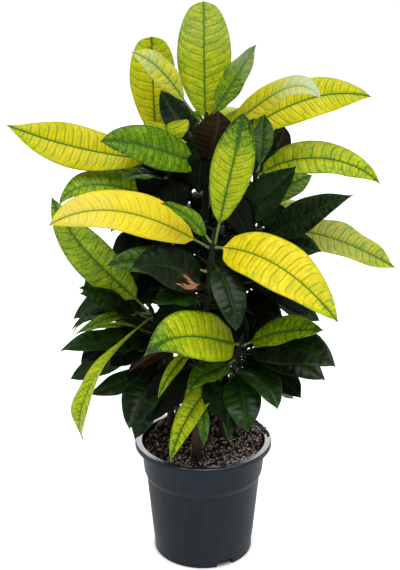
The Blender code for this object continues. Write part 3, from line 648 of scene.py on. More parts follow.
# what a leaf does apart from the rest, in the terms of leafBuild, or of its shape for stalk and belly, or of
# its look for quilt; scar: dried streaks, each from and to a place along and across the blade
leafHabits = {
    "back_01": {"drawnTip": 0.012, "wave": 0.6, "lean": 0.10, "baseFull": 0.54, "tipFull": 0.27},
    "back_02": {"stalk": 0.30, "widen": 1.15, "tipFull": 0.55, "baseFull": 0.5, "wave": 1.2},
    "back_03": {"lean": 0.10, "baseFull": 0.8, "widen": 0.92},
    "back_04": {"stalk": 0.05, "baseFull": 1.0, "tipFull": 0.42, "widen": 0.92, "wave": 1.6},
    "back_06": {"stalk": 0.03, "quilt": 1.0, "tipFull": 0.6, "baseFull": 0.42},
    "front_01": {"drawnTip": 0.012, "lean": 0.10, "baseFull": 0.52, "tipFull": 0.55, "widen": 0.87},
    "front_02": {"stalk": 0.10, "wave": 2.8, "drawnTip": 0.03, "lean": 0.07, "baseFull": 0.50},
    "front_03": {"wave": 1.2, "drawnTip": 0.05, "belly": 0.40, "tipFull": 0.72, "lean": 0.02},
    "front_05": {"scar": (((0.0, -0.55), (0.42, -0.70)), ((0.03, -0.45), (0.34, 0.0))), "baseFull": 0.45},
    "right_02": {"tipFull": 1.15, "drawnTip": 0.05},
    "right_01": {"stalk": 0.04, "baseFull": 0.32, "tipFull": 0.75, "lean": 0.02},
    "right_04": {"wave": 3.4, "baseFull": 0.32, "widen": 1.22},
    "left_01": {"drawnTip": 0.06, "tipFull": 0.85, "lean": 0.02},
    "right_low_03": {"widen": 1.15},
    "left_06": {"tipFull": 0.24, "baseFull": 0.6, "drawnTip": 0.012},
    "left_low_01": {"tipFull": 0.5, "widen": 1.3},
    "right_low_01": {"stalk": 0.03, "baseFull": 0.32, "tipFull": 1.0, "drawnTip": 0.05, "lean": 0.03},
}


def bladeHalf(share, width, belly, b):
    # half the blade's width in mm along its length
    stretched = np.clip(share, 1e-6, 1) ** (math.log(0.5) / math.log(belly))
    full = np.where(share < belly, b["baseFull"], b["tipFull"])
    swell = np.maximum(0.0, np.sin(np.pi * stretched)) ** full
    point = (1 - np.exp(-(1 - share) / b["drawnTip"])) / (1 - math.exp(-1 / b["drawnTip"]))
    return np.maximum(0.12, width / 2 * swell * (1 - 0.25 * share ** 6) * point)


def leafRoute(stem, shape):
    # way out of the stem's side, and the midrib as a cubic curve, in mm
    height, tip, _, _, rise, droop = shape[:6]
    middle = stemPoint(stem, height)
    end = np.array(tip, float)
    heading = math.degrees(math.atan2(end[1] - middle[1], end[0] - middle[0]))
    grown = stemSlope(stem, height)
    out = direction(heading, 0)
    out = unit(out - grown * out.dot(grown))
    foot = middle + (stemRadius(stem, height) + 0.5) * out
    pull = leafBuild["pull"] * np.linalg.norm(end - foot)
    after, before = foot + pull * direction(heading, rise), end - pull * direction(heading, droop)
    return out, np.array([foot, after, before, end])


def onRoute(route, t):
    # points and headings along a cubic curve
    t = np.asarray(t, float)[..., None]
    s = 1 - t
    a, b, c, d = route
    point = a * s ** 3 + 3 * b * s * s * t + 3 * c * s * t * t + d * t ** 3
    heading = 3 * s * s * (b - a) + 6 * s * t * (c - b) + 3 * t * t * (d - c)
    return point, unit(heading)


def facing(heading, upper):
    # across a leaf's way, the directions its upper face and its right side look to
    up = unit(upper - heading * (heading @ upper)[..., None])
    return up, np.cross(heading, up)


def ringRound(turn, right, up):
    # rings of unit vectors round a way, at these turns from its right side
    return np.cos(turn)[None, :, None] * right[:, None] + np.sin(turn)[None, :, None] * up[:, None]


def driedStreaks(place, b):
    # how dried the leaf is at each place on it, from 0 to 1
    scar = np.zeros(place.shape[:2])
    if b["scar"]:
        spot = place[..., :2] / b["scarReach"]
        for start, end in np.array(b["scar"]) / b["scarReach"]:
            way = end - start
            gone = np.clip((spot - start) @ way / (way @ way), 0, 1)
            apart = np.linalg.norm(spot - start - gone[..., None] * way, axis=-1)
            scar = np.maximum(scar, np.exp(-apart ** 2) * (1 - 0.45 * gone))
    return scar


def leafGrid(name, stem, shape, rowsPerVein, columns=leafBuild["columns"]):
    # rings of points round the leaf from its foot to its tip, with what the material needs to know of each
    width, belly, _, _, stalk, faces, fold, look = shape[2:]
    given = {"quilt": leafLooks[look]["quilt"], "stalk": stalk, "belly": belly}
    b = {**leafBuild, **given, **leafHabits.get(name, {})}
    stalk, width, belly = b["stalk"], width * b["widen"], b["belly"]
    draw = random.Random(name)
    out, route = leafRoute(stem, shape)
    upper = direction(*faces)
    samples = onRoute(route, np.linspace(stalk, 1, 60))[0]
    length = np.linalg.norm(np.diff(samples, axis=0), axis=1).sum()
    veins = max(5, round(length / b["veinSpacing"] * draw.uniform(*b["jitter"])))
    rows = veins * rowsPerVein
    half = list(columns)
    across = np.array([-v for v in reversed(half[1:])] + half)
    side = np.abs(across)
    own = draw.random()
    waves = [(draw.uniform(*b["waveCount"]), draw.uniform(0, 6.28)) for _ in range(2)]

    # blade rows follow the lateral veins
    step = np.linspace(0, 1, rows + 1)[:, None]
    share = step + b["lean"] * side ** 1.15 * 4 * step * (1 - step)
    t = stalk + (1 - stalk) * share
    point, along = onRoute(route, t)
    up, right = facing(along, upper)
    wide = bladeHalf(share, width, belly, b)
    away = side * wide
    opened = np.radians(fold) * np.minimum(1, 4 * share) * (1 - 0.4 * share)
    phase = step * veins + np.where(across < 0, b["veinShift"], 0.0)
    body = smooth(share, 0.0, 0.12) * smooth(share, 1.0, 0.93)
    quilt = np.abs(np.sin(np.pi * phase)) ** 0.8 * smooth(side, 0.03, 0.25) * smooth(side, 1.0, 0.72)
    lift = away * np.tan(opened) - b["camber"] * wide * side ** 2.2 * body
    lift += b["quilt"] * quilt * body * np.minimum(1, wide / b["quiltWidth"])
    grooveDeep, grooveWide = b["groove"]
    lift -= grooveDeep * np.exp(-(away / grooveWide) ** 2) * body
    for sign, (count, start) in zip((-1, 1), waves):
        half = (across * sign > 0) * side ** 2.5
        lift += b["wave"] * half * np.sin(2 * np.pi * count * share + start) * body
    # the underside: midrib and lateral veins stand out
    ridge = b["ribThick"] * (1 - 0.75 * share) * np.exp(-(away / b["ridgeWidth"]) ** 2)
    ribs = b["ribs"] * (1 - quilt) * smooth(side, 1.0, 0.8) * body
    thick = (b["thick"] + ridge + ribs) * (1 - side ** 8)
    top = point + right * (across * wide)[..., None] + up * lift[..., None]
    low = top - up * thick[..., None]
    rings = np.concatenate([top, low[:, -2:0:-1]], axis=1)

    # stalk rings, and a round start to the blade
    count = rings.shape[1]
    turn = np.concatenate([
        np.linspace(math.pi, 0, len(across)),
        np.linspace(0, -math.pi, len(across))[1:-1],
    ])
    blend = smooth(step[:, 0], 0.0, 0.05)[:, None, None]
    centre, heading = onRoute(route, stalk + (1 - stalk) * step[:, 0])
    upC, rightC = facing(heading, upper)
    radius = b["stalkRadius"]
    start = (centre - upC * radius * b["sag"])[:, None] + radius * ringRound(turn, rightC, upC)
    rings = rings * blend + start * (1 - blend)

    rows0 = b["stalkRows"]
    tS = stalk * np.linspace(0, 1, rows0, endpoint=False)
    centre, heading = onRoute(route, tS)
    stalkLength = stalk * length / (1 - stalk)
    gone = tS / stalk * stalkLength
    centre = centre - (out * b["sunk"])[None] * smooth(gone, b["footReach"], 0.0)[:, None]
    upC, rightC = facing(heading, upper)
    sag = radius * b["sag"] * smooth(tS / stalk, 0.3, 1.0)
    reach = radius + b["footSwelling"] * np.exp(-(gone / b["footReach"]) ** 2)
    circle = ringRound(turn, rightC, upC)
    stalkRings = (centre - upC * sag[:, None])[:, None] + reach[:, None, None] * circle
    points = np.concatenate([stalkRings, rings])

    # what the material reads: place on the blade, distances in mm, and the dried streaks
    known = [share, np.broadcast_to(across, share.shape), phase, away, wide - away]
    blade = np.stack([np.concatenate([v, v[:, -2:0:-1]], axis=1) for v in known], axis=-1)
    stalkPart = np.zeros((rows0, count, 5))
    stalkPart[..., 0] = (tS / stalk - 1)[:, None] * 0.2 - 0.02
    stalkPart[..., 3:] = 5.0
    known = np.concatenate([stalkPart, blade])
    place = known[..., :3]
    size = np.concatenate([known[..., 3:], np.full(known.shape[:2] + (1,), own)], axis=-1)
    return points, place, size, driedStreaks(place, b), len(across)


def leafMesh(name, grids, mats):
    # one mesh of one or more leaves, each a closed thin body with its upper and its lower material
    points, faces, slots = [], [], []
    base = 0
    for grid, _, _, _, topCount in grids:
        rings, count = grid.shape[:2]
        points.append(grid.reshape(-1, 3))
        i = np.arange(rings - 1)[:, None] * count
        k = np.arange(count)[None]
        after = (k + 1) % count
        quads = np.stack([i + k, i + after, i + count + after, i + count + k], axis=-1) + base
        faces += quads.reshape(-1, 4).tolist()
        slots += np.broadcast_to(np.where(k < topCount - 1, 0, 1), (rings - 1, count)).ravel().tolist()
        faces.append([base + j for j in reversed(range(count))])
        faces.append([base + (rings - 1) * count + j for j in range(count)])
        slots += [0, 0]
        base += rings * count
    known = {
        "leafPlace": np.concatenate([place.reshape(-1, 3) for _, place, _, _, _ in grids]),
        "leafSize": np.concatenate([size.reshape(-1, 3) for _, _, size, _, _ in grids]),
        "leafScar": np.concatenate([scar.ravel() for _, _, _, scar, _ in grids]),
    }
    mesh = newMesh(name, np.concatenate(points), faces, mats, **known)
    mesh.polygons.foreach_set("material_index", slots)
    return mesh


cameraBuild = {"place": (-0.0045, -1.264, 0.778), "down": 17.15, "lens": 62.8}  # metres, degrees, mm

innerBuild = {
    "cell": 4,                # mm: how near two leaves may come
    "tries": 1500,            # for each stem
    "start": 34,              # mm above the soil
    "lengths": (150, 52),     # mm: the first ones tried and the last
    "width": (0.30, 0.42),    # of the length
    "clear": 22,              # mm along a leaf's own foot where it may touch what it grows from
    "lowest": 186,            # mm: no inner leaf hangs lower
    "shorten": 0.8,           # how soon the tried ones get shorter
    "slope": (-40, 25),       # degrees, of a leaf as a whole
    "rise": (10, 40),         # degrees steeper at its foot
    "droop": (15, 45),        # degrees less steep at its tip
    "stalk": (0.10, 0.36),    # share of its length
    "belly": 0.48, "upper": 62, "fold": 16,
    "rowsPerVein": 3,
    "columns": (0.0, 0.06, 0.2, 0.45, 0.75, 1.0),
    # the dark heart of the plant from the front, where leaves painted nearly black stand in for its shade:
    # height, then how far left and right it reaches, in mm
    "heart": [
        (215, -40, 40), (245, -70, 42), (265, -70, 90), (285, -84, 140), (300, -140, 145), (320, -132, 140),
        (345, -122, 138), (370, -148, 150), (400, -152, 140), (425, -140, 132), (440, -98, 130),
        (462, -96, 124), (480, -150, 145), (500, -150, 160), (515, -150, 128), (535, -92, 135),
        (550, -92, 110), (570, -110, 100), (590, -100, 96), (610, -74, 70), (628, -50, -28),
    ],
    # openings in it that show the background: x, height, half width, half height, in mm
    "gaps": [(-17, 612, 10, 32), (-106, 548, 9, 9), (-112, 450, 13, 15), (-69, 357, 4, 4), (50, 252, 9, 15)],
}
# cells that leaves take up, from the lowest corner, and how near the light leaves come to the front
spaceLow = np.array([-280.0, -220.0, 140.0])   # mm
spaceTaken = np.zeros((140, 110, 160), bool)
frontCell = 6.0                                # mm
frontLeft = 288                                # mm
frontDepth = np.full((96, 132), np.inf)


def cells(points):
    # grid cells that points lie in
    return np.clip(((points - spaceLow) / innerBuild["cell"]).astype(int), 0, np.array(spaceTaken.shape) - 1)


def seenFromFront(points):
    # x and height at which points show on the upright plane through the pot's middle
    eye = np.array(cameraBuild["place"]) / mm
    share = -eye[1] / (points[:, 1] - eye[1])
    return eye[0] + (points[:, 0] - eye[0]) * share, eye[2] + (points[:, 2] - eye[2]) * share


def frontCells(points):
    x, z = seenFromFront(points)
    wide, high = frontDepth.shape
    across = np.clip(((x + frontLeft) / frontCell).astype(int), 0, wide - 1)
    return across, np.clip((z / frontCell).astype(int), 0, high - 1)


def dense(grid, step=3.0):
    # points of a leaf close enough together to leave no cell out
    points = grid[0]
    rows = np.linalg.norm(np.diff(points[:, 0], axis=0), axis=1).mean()
    return points[::max(1, int(step / max(rows, 0.1)))].reshape(-1, 3)


def inHeart(points):
    # whether points show within the heart and in none of its openings
    x, z = seenFromFront(points)
    heights, left, right = np.array(innerBuild["heart"]).T
    if z.min() < heights[0] or z.max() > heights[-1]:
        return False
    if (x < np.interp(z, heights, left)).any() or (x > np.interp(z, heights, right)).any():
        return False
    return not any(
        (((x - gx) / halfWidth) ** 2 + ((z - gz) / halfHeight) ** 2 < 1).any()
        for gx, gz, halfWidth, halfHeight in innerBuild["gaps"]
    )


def takeSpace(points, reach):
    # mark the cells of these points, and those up to reach cells away, as taken
    at = cells(points)
    for shift in np.ndindex((2 * reach + 1,) * 3):
        near = np.clip(at + np.array(shift) - reach, 0, np.array(spaceTaken.shape) - 1)
        spaceTaken[near[:, 0], near[:, 1], near[:, 2]] = True


def fits(points, foot):
    # whether an inner leaf is clear of the others, hides no light one and stays in the heart
    own = np.linalg.norm(points - foot, axis=1) < innerBuild["clear"]
    at = cells(points[~own])
    if spaceTaken[at[:, 0], at[:, 1], at[:, 2]].any() or points[:, 2].min() < innerBuild["lowest"]:
        return False
    shown = frontDepth[frontCells(points)]
    if (np.isfinite(shown) & (shown > points[:, 1])).any():
        return False
    return inHeart(points)


def byGreen(look, steps):
    # the underside or slot that goes with how green a look is
    return next(name for limit, name in steps if leafLooks[look]["green"] <= limit)


def makeLeaf(piece, name, stem, shape, slot, *replaced):
    # a leaf that is a piece of its own; those painted nearly black as painted shade are drawn with fewer
    # points
    look = shape[-1]
    if look == "shade":
        grid = leafGrid(piece + name, stem, shape, innerBuild["rowsPerVein"], innerBuild["columns"])
    else:
        grid = leafGrid(name if replaced else piece + name, stem, shape, leafBuild["rowsPerVein"])
    takeSpace(dense(grid), 0)
    if look not in ("dark", "shade"):
        points = dense(grid, 2.0)
        np.minimum.at(frontDepth, frontCells(points), points[:, 1])
    mesh = leafMesh(name, [grid], [upperMaterials[look], underMaterials[byGreen(look, underSteps)]])
    newPiece(piece + name, mesh, slot, *replaced)


def makeLeaves():
    # the leaves of the CAD, then the small ones; the stems take their space after them
    for stem, shapes in leafShapes.items():
        for number, shape in enumerate(shapes, 1):
            name = f"{stem}_{number:02d}"
            makeLeaf("leafBlade_", name, stem, shape, slotOf["leaf_" + name], "leaf_" + name)
    for stem, shapes in smallShapes.items():
        for number, shape in enumerate(shapes, 1):
            makeLeaf("smallLeaf_", f"{stem}_{number:02d}", stem, shape, byGreen(shape[-1], slotSteps))
    for stem, ((x0, y0), (_, _, z1), _) in stemShapes.items():
        heights = np.arange(float(soilHeight(x0, y0)), z1 + 8, 3)
        takeSpace(np.array([stemPoint(stem, z) for z in heights]), 1)


makeLeaves()
print("leaves made")


def makeInnerLeaves(stem):
    # older leaves all round a stem, their dark green painted nearly black as painted shade: one is tried
    # after another, the long ones first
    b = innerBuild
    draw = random.Random("inner " + stem)
    (x0, y0), (_, _, z1), _ = stemShapes[stem]
    lowest = float(soilHeight(x0, y0)) + b["start"]
    grids = []
    for number in range(b["tries"]):
        long, short = b["lengths"]
        length = long + (short - long) * (number / b["tries"]) ** b["shorten"]
        height = draw.uniform(lowest, z1 - 10)
        azimuth = draw.uniform(-180, 180)
        slope = draw.uniform(*b["slope"])
        width = length * draw.uniform(*b["width"])
        foot = stemPoint(stem, height)
        tip = foot + length * direction(azimuth, slope)
        if not inHeart(tip[None]) or tip[2] < b["lowest"]:
            continue
        rise = slope + draw.uniform(*b["rise"])
        droop = slope - draw.uniform(*b["droop"])
        stalk = draw.uniform(*b["stalk"])
        faces = (azimuth, b["upper"])
        shape = (height, tuple(tip), width, b["belly"], rise, droop, stalk, faces, b["fold"], "shade")
        grid = leafGrid(f"inner {stem} {number}", stem, shape, b["rowsPerVein"], b["columns"])
        if fits(dense(grid), foot):
            takeSpace(dense(grid), 0)
            grids.append(grid)
    mesh = leafMesh("inner" + stem, grids, [upperMaterials["shade"], underMaterials["maroon"]])
    newPiece("innerLeaves_" + stem, mesh, "leaf_dark")
    print("inner leaves", stem, len(grids))


for stem in stemShapes:
    makeInnerLeaves(stem)


# stems

stemBuild = {  # mm
    "sides": 24, "step": 2.2, "sunk": 12, "bud": 10, "budTaper": 0.75,
    "scarStart": 14, "scarSpacing": 17.0, "scarShift": 4, "scarHigh": 1.6,   # half height of a leaf scar
    "swelling": (0.9, 3.0), "ridge": 0.9, "groove": (0.4, 3), "knobs": 0.35,
}


def barkMaterial():
    # woody cutting: grey brown bark with fine cracks below, green skin above, painted nearly black as painted
    # shade;
    # the cracks are drawn about 2 mm apart, coarser than the real ones, so that they show
    material, add = newMaterial("woodyCuttingBark")
    share = add("Attribute", attribute_name="stemShare").outputs["Fac"]
    spot = add("TexCoord").outputs["Object"]
    stretched = add("Mapping", {0: spot, 3: (1.0, 1.0, 0.25)})
    grain = add("TexNoise", {"Vector": stretched, "Scale": 520.0, "Detail": 6.0, "Roughness": 0.7})
    patch = add("TexNoise", {"Vector": spot, "Scale": 60.0, "Detail": 3.0})
    wood = add("ValToRGB", [grain],
                   stops=[(0.30, "#150F0B"), (0.5, "#30241A"), (0.7, "#5A4937")])
    # green skin, painted nearly black as painted shade
    greenSkinPaintedShade = add("ValToRGB", [grain],
                    stops=[(0.30, "#0B1207"), (0.5, "#16210E"), (0.7, "#2C3B1C")])
    wandered = add("MapRange", [patch, 0.3, 0.7, -0.15, 0.15])
    place = add("Math", [share, wandered], operation="ADD")
    greened = add("MapRange", [place, 0.45, 0.85, 0.0, 1.0])
    colour = add("Mix", {0: greened, 6: wood, 7: greenSkinPaintedShade}, **inColour)
    bump = add("Bump", {"Height": grain, "Strength": 0.8, "Distance": 0.0008})
    skin = add("BsdfPrincipled", {
        "Base Color": colour, "Roughness": 0.78, "IOR": 1.5, "Specular IOR Level": 0.25,
        "Normal": bump,
    })
    add("OutputMaterial", [skin])
    return material


def stemMesh(stem, material):
    # a woody tube with leaf scars, swollen where a leaf stands, and a bud on top
    (x0, y0), (_, _, z1), _ = stemShapes[stem]
    b = stemBuild
    draw = random.Random("stem " + stem)
    z0 = float(soilHeight(x0, y0))
    heights = np.arange(z0 - b["sunk"], z1 + b["bud"], b["step"])
    feet = [shape[0] for shape in leafShapes[stem]]
    scars = np.arange(z0 + b["scarStart"], z1 - b["bud"], b["scarSpacing"])
    scars += np.array([draw.uniform(-b["scarShift"], b["scarShift"]) for _ in scars])
    turns = [draw.uniform(0, 2 * math.pi) for _ in scars]
    around = np.linspace(0, 2 * math.pi, b["sides"], endpoint=False)
    swollen, swollenHigh = b["swelling"]
    groove, grooveUp = b["groove"]
    rings, shares = [], []
    for z in heights:
        middle = stemPoint(stem, z)
        grown = stemSlope(stem, z)
        right = unit(np.cross(grown, [0, 1, 0]))
        front = np.cross(right, grown)
        r = np.full(len(around), stemRadius(stem, z))
        for height in feet:
            r += swollen * math.exp(-((z - height) / swollenHigh) ** 2)
        for height, turn in zip(scars, turns):
            towards = np.clip(np.cos(around - turn), 0, 1)
            r += towards * b["ridge"] * math.exp(-((z - height) / b["scarHigh"]) ** 2)
            r -= towards * groove * math.exp(-((z - height - grooveUp) / b["scarHigh"]) ** 2)
        spots = [Vector((math.cos(a) * 2, math.sin(a) * 2, z / 14)) for a in around]
        r += np.array([b["knobs"] * noise.noise(spot) for spot in spots])
        if z > z1:
            r *= 1 - b["budTaper"] * (z - z1) / b["bud"]
        circle = np.cos(around)[:, None] * right + np.sin(around)[:, None] * front
        rings.append(middle + r[:, None] * circle)
        shares.append(np.full(len(around), (z - z0) / (z1 - z0)))
    count = len(around)
    i = np.arange(len(rings) - 1)[:, None] * count
    k = np.arange(count)[None]
    after = (k + 1) % count
    faces = np.stack([i + k, i + count + k, i + count + after, i + after], axis=-1).reshape(-1, 4).tolist()
    faces.append(list(range(count)))
    faces.append([(len(rings) - 1) * count + j for j in reversed(range(count))])
    return newMesh("stem " + stem, np.concatenate(rings), faces, [material], stemShare=np.concatenate(shares))


bark = barkMaterial()
for stem in stemShapes:
    newPiece("stemCutting_" + stem, stemMesh(stem, bark), slotOf["stem_" + stem], "stem_" + stem)
print("stems made")


# pot

def potMaterial(name, rough, shine, coat):
    # polypropylene, injection moulded with a fine satin grain: dark blue grey with broad soft highlights;
    # the top of the lip is polished, so bright lines of light run along it; the grain is drawn about 1 mm
    # wide, coarser than the real one, so that it shows
    material, add = newMaterial(name)
    spot = add("TexCoord").outputs["Object"]
    grain = add("TexNoise", {"Vector": spot, "Scale": 900.0, "Detail": 2.0})
    cloud = add("TexNoise", {"Vector": spot, "Scale": 14.0, "Detail": 3.0})
    drawn = add("Mapping", {0: spot, 3: (1.0, 1.0, 0.06)})
    flow = add("TexNoise", {"Vector": drawn, "Scale": 160.0, "Detail": 2.0})
    mixed = add("Mix", {0: 0.5, 2: cloud, 3: flow})
    colour = add("ValToRGB", [mixed], stops=[(0.3, "#131A20"), (0.5, "#171F26"), (0.7, "#1D262E")])
    gloss = add("MapRange", [cloud, 0.3, 0.7, *rough])
    bump = add("Bump", {"Height": grain, "Strength": 0.25, "Distance": 0.0002})
    skin = add("BsdfPrincipled", {
        "Base Color": colour, "Roughness": gloss, "IOR": 1.49, "Specular IOR Level": shine,
        "Coat Weight": coat, "Coat Roughness": 0.12, "Normal": bump,
    })
    add("OutputMaterial", [skin])
    return material


def potProfile():
    # outline from the middle of the inner floor, over the lip, to the middle underneath, in mm
    s = potShape
    height, rim, lip, wall, foot = s["height"], s["rim"], s["lipRound"], s["wall"], s["foot"]
    floor, skin = s["floor"]
    (collar, collarZ), (shoulder, shoulderZ), (ridge, ridgeZ) = s["collarFoot"], s["shoulder"], s["ridge"]
    inner = foot + ridge - wall
    lipLow, under, top = height - s["lipHeight"], height - wall - lip / 2, s["collarTop"]
    ring = foot - s["footRing"]
    points = [
        (0, floor + skin), (inner - 3, floor + skin), (inner - 1, floor + 2.6), (inner + 0.3, floor + 4.5),
        (shoulder - wall - 0.3, shoulderZ - 2 + wall / 2), (shoulder - wall + 0.4, shoulderZ + 1 + wall / 2),
        (collar - wall - 0.4, collarZ - 1 + wall / 2), (collar - wall + 0.1, collarZ + 2 + wall / 2),
        (top - lip, height - lip),
    ]
    turns = [math.radians(90 * i / s["lipSteps"]) for i in range(s["lipSteps"] + 1)]
    points += [(top - lip + lip * (1 - math.cos(a)), height - lip * (1 - math.sin(a))) for a in turns[1:]]
    points.append(((top - lip + rim) / 2, height + 0.02))
    points += [(rim - lip * (1 - math.sin(a)), height - lip * (1 - math.cos(a))) for a in turns]
    points += [
        (rim, lipLow + 0.6), (rim - 0.25, lipLow + 0.15), (rim - 0.6, lipLow), (rim - 1.3, lipLow),
        (rim - wall, lipLow + 0.4), (rim - wall, under - 1.1), (rim - wall - 0.4, under - 0.4),
        (rim - wall - 1.1, under), (top + 1.2, under), (top + 0.35, under - 0.35), (top, under - 1.2),
        (collar + 0.1, collarZ + 2), (collar - 0.1, collarZ + 0.6), (collar - 0.55, collarZ - 1.0),
        (shoulder + 0.55, shoulderZ + 1.4), (shoulder + 0.05, shoulderZ + 0.4),
        (shoulder - 0.05, shoulderZ - 1),
        (foot + 1.75, ridgeZ + 2.2), (foot + 1.6, ridgeZ + 0.9), (foot + 1.35, ridgeZ + 0.3),
        (foot + 0.85, ridgeZ), (foot + 0.75, ridgeZ - 0.8), (foot + 0.1, 1.0), (foot - 0.25, 0.25),
        (foot - 1.0, 0.0), (ring + 0.6, 0.0), (ring, 0.6), (ring, floor - 0.8), (ring - 0.8, floor),
        (0, floor),
    ]
    return points


def markSharp(mesh, degrees):
    # smooth faces with sharp edges where the surface turns by more than this
    mesh.shade_smooth()
    shape = bmesh.new()
    shape.from_mesh(mesh)
    for edge in shape.edges:
        closed = not edge.is_boundary and len(edge.link_faces) == 2
        edge.smooth = closed and edge.calc_face_angle() < math.radians(degrees)
    shape.to_mesh(mesh)
    shape.free()


def turned(name, profile, steps):
    # closed body of revolution about Z from a profile that starts and ends on the axis
    around = np.linspace(0, 2 * math.pi, steps, endpoint=False)
    verts = [(0, 0, profile[0][1])]
    for r, z in profile[1:-1]:
        verts += [(r * x, r * y, z) for x, y in zip(np.cos(around), np.sin(around))]
    verts.append((0, 0, profile[-1][1]))
    mesh = newMesh(name, verts, spunFaces(len(profile) - 2, steps), smooth=False)
    shape = bmesh.new()
    shape.from_mesh(mesh)
    bmesh.ops.recalc_face_normals(shape, faces=shape.faces)
    shape.to_mesh(mesh)
    shape.free()
    return mesh


def notchCutter(azimuth):
    # a block with rounded upper edges that cuts a notch out of the foot ring
    s = potShape
    deep, wide, high = s["notch"]
    size = Matrix.Diagonal((deep * mm, wide * mm, 2 * high * mm, 1))
    outwards = Matrix.Rotation(math.radians(azimuth), 4, "Z") @ Matrix.Translation((s["foot"] * mm, 0, 0))
    shape = bmesh.new()
    bmesh.ops.create_cube(shape, size=1.0)
    bmesh.ops.transform(shape, matrix=outwards @ size, verts=shape.verts)
    edges = [e for e in shape.edges if all(v.co.z > 0 for v in e.verts)]
    bevel = s["notchBevel"] * mm
    bmesh.ops.bevel(shape, geom=edges, offset=bevel, segments=3, profile=0.5, affect="EDGES")
    return shape


def drainCutter(number):
    # a cylinder that cuts a drain hole through the floor
    s = potShape
    radius, floor = s["drain"] * mm, s["floor"][0] * mm
    shape = bmesh.new()
    bmesh.ops.create_cone(
        shape, cap_ends=True, segments=s["drainSides"], radius1=radius, radius2=radius,
        depth=s["drainDeep"] * mm)
    spot = direction(360 * (number + 0.5) / s["drains"], 0) * s["drainCircle"] * mm
    bmesh.ops.translate(shape, vec=(spot[0], spot[1], floor), verts=shape.verts)
    return shape


def makePot():
    s = potShape
    draft = newObject("potDraft", turned("potDraft", potProfile(), s["steps"]))
    cutters = [notchCutter(azimuth) for azimuth in s["notchAt"]]
    cutters += [drainCutter(number) for number in range(s["drains"])]
    tools = []
    for i, shape in enumerate(cutters):
        mesh = bpy.data.meshes.new(f"cutter{i}")
        shape.to_mesh(mesh)
        shape.free()
        tools.append(newObject(f"cutter{i}", mesh))
        cut = draft.modifiers.new("cut", "BOOLEAN")
        cut.operation, cut.solver, cut.object = "DIFFERENCE", "EXACT", tools[-1]
    graph = bpy.context.evaluated_depsgraph_get()
    mesh = bpy.data.meshes.new_from_object(draft.evaluated_get(graph))
    mesh.name = "pot"
    for tool in tools + [draft]:
        bpy.data.objects.remove(tool)
    mesh.materials.clear()
    mesh.materials.append(potMaterial("mouldedPolypropylene", (0.44, 0.54), 0.13, 0.0))
    mesh.materials.append(potMaterial("polishedPolypropylene", (0.16, 0.24), 0.9, 0.6))
    markSharp(mesh, s["sharp"])
    down, upright = s["polished"]
    for face in mesh.polygons:
        if face.center.z > (s["height"] - down * s["lipRound"]) * mm and face.normal.z > upright:
            face.material_index = 1
    newPiece("potShell", mesh, slotOf["pot"], "pot")


makePot()
print("pot made")


# soil

crumbBuild = {
    "rings": 90, "steps": 220, "tone": 0.22,
    "lumps": [(2.2, 9, 0.3), (1.5, 3.5, 4.1)],   # mm high, mm wide, level of the noise
    "edgeRise": (5, 64, 82),                     # mm: the soil is pushed up along the wall
    "wallGap": 0.15,                             # mm
    "grainGap": 1.5,                             # mm between the wall and a grain
    "corners": (0.75, 1.15),                     # how far a grain's corners vary
    "tilt": 0.5,                                 # radians
    "spillReach": 6,                             # mm inwards of the soil's edge
    "spillHigh": 0.35,                           # mm higher for each mm inwards of the rim
    "spilledFrom": (2, 72),                      # degrees: where grains lie over the lip
    # count, half length in mm, flatness, how far the middle is raised in half lengths, and seed
    "peatCrumbs": (3800, (0.7, 3.0), (0.55, 1.0), 0.25, 11),
    "spilledPeat": (420, (0.7, 2.4), (0.55, 1.0), 0.3, 14),
    "barkChips": (620, (1.8, 4.6), (0.25, 0.5), 0.15, 12),
    "perliteGrains": (620, (0.8, 2.2), (0.7, 1.0), 1.3, 13),
}


def peatMaterial(name, stops, rough):
    # loose potting mix, crumbly and dull: very dark damp peat, brown composted bark, or white perlite; the
    # peat's fines are drawn about 1.5 mm wide, coarser than the real ones, so that they show
    material, add = newMaterial(name)
    spot = add("TexCoord").outputs["Object"]
    tone = add("Attribute", attribute_name="crumbTone").outputs["Fac"]
    grain = add("TexNoise", {"Vector": spot, "Scale": 700.0, "Detail": 5.0, "Roughness": 0.7})
    lumps = add("TexVoronoi", {"Vector": spot, "Scale": 420.0})
    mixed = add("Mix", {0: 0.68, 2: grain, 3: tone})
    colour = add("ValToRGB", [mixed], stops=stops)
    height = add("Math", [grain, lumps.outputs["Distance"]], operation="SUBTRACT")
    bump = add("Bump", {"Height": height, "Strength": 1.0, "Distance": 0.0015})
    skin = add("BsdfPrincipled", {
        "Base Color": colour, "Roughness": rough, "IOR": 1.4, "Normal": bump,
    })
    add("OutputMaterial", [skin])
    return material


def lumpyHeight(x, y):
    # the soil's surface with its lumps and dents, in mm
    b = crumbBuild
    lump = sum(high * noise.noise(Vector((x / wide, y / wide, level))) for high, wide, level in b["lumps"])
    rise, start, end = b["edgeRise"]
    front = 1 - smooth(y, 0, 40)
    return float(soilHeight(x, y)) + lump + rise * front * float(smooth(math.hypot(x, y), start, end))


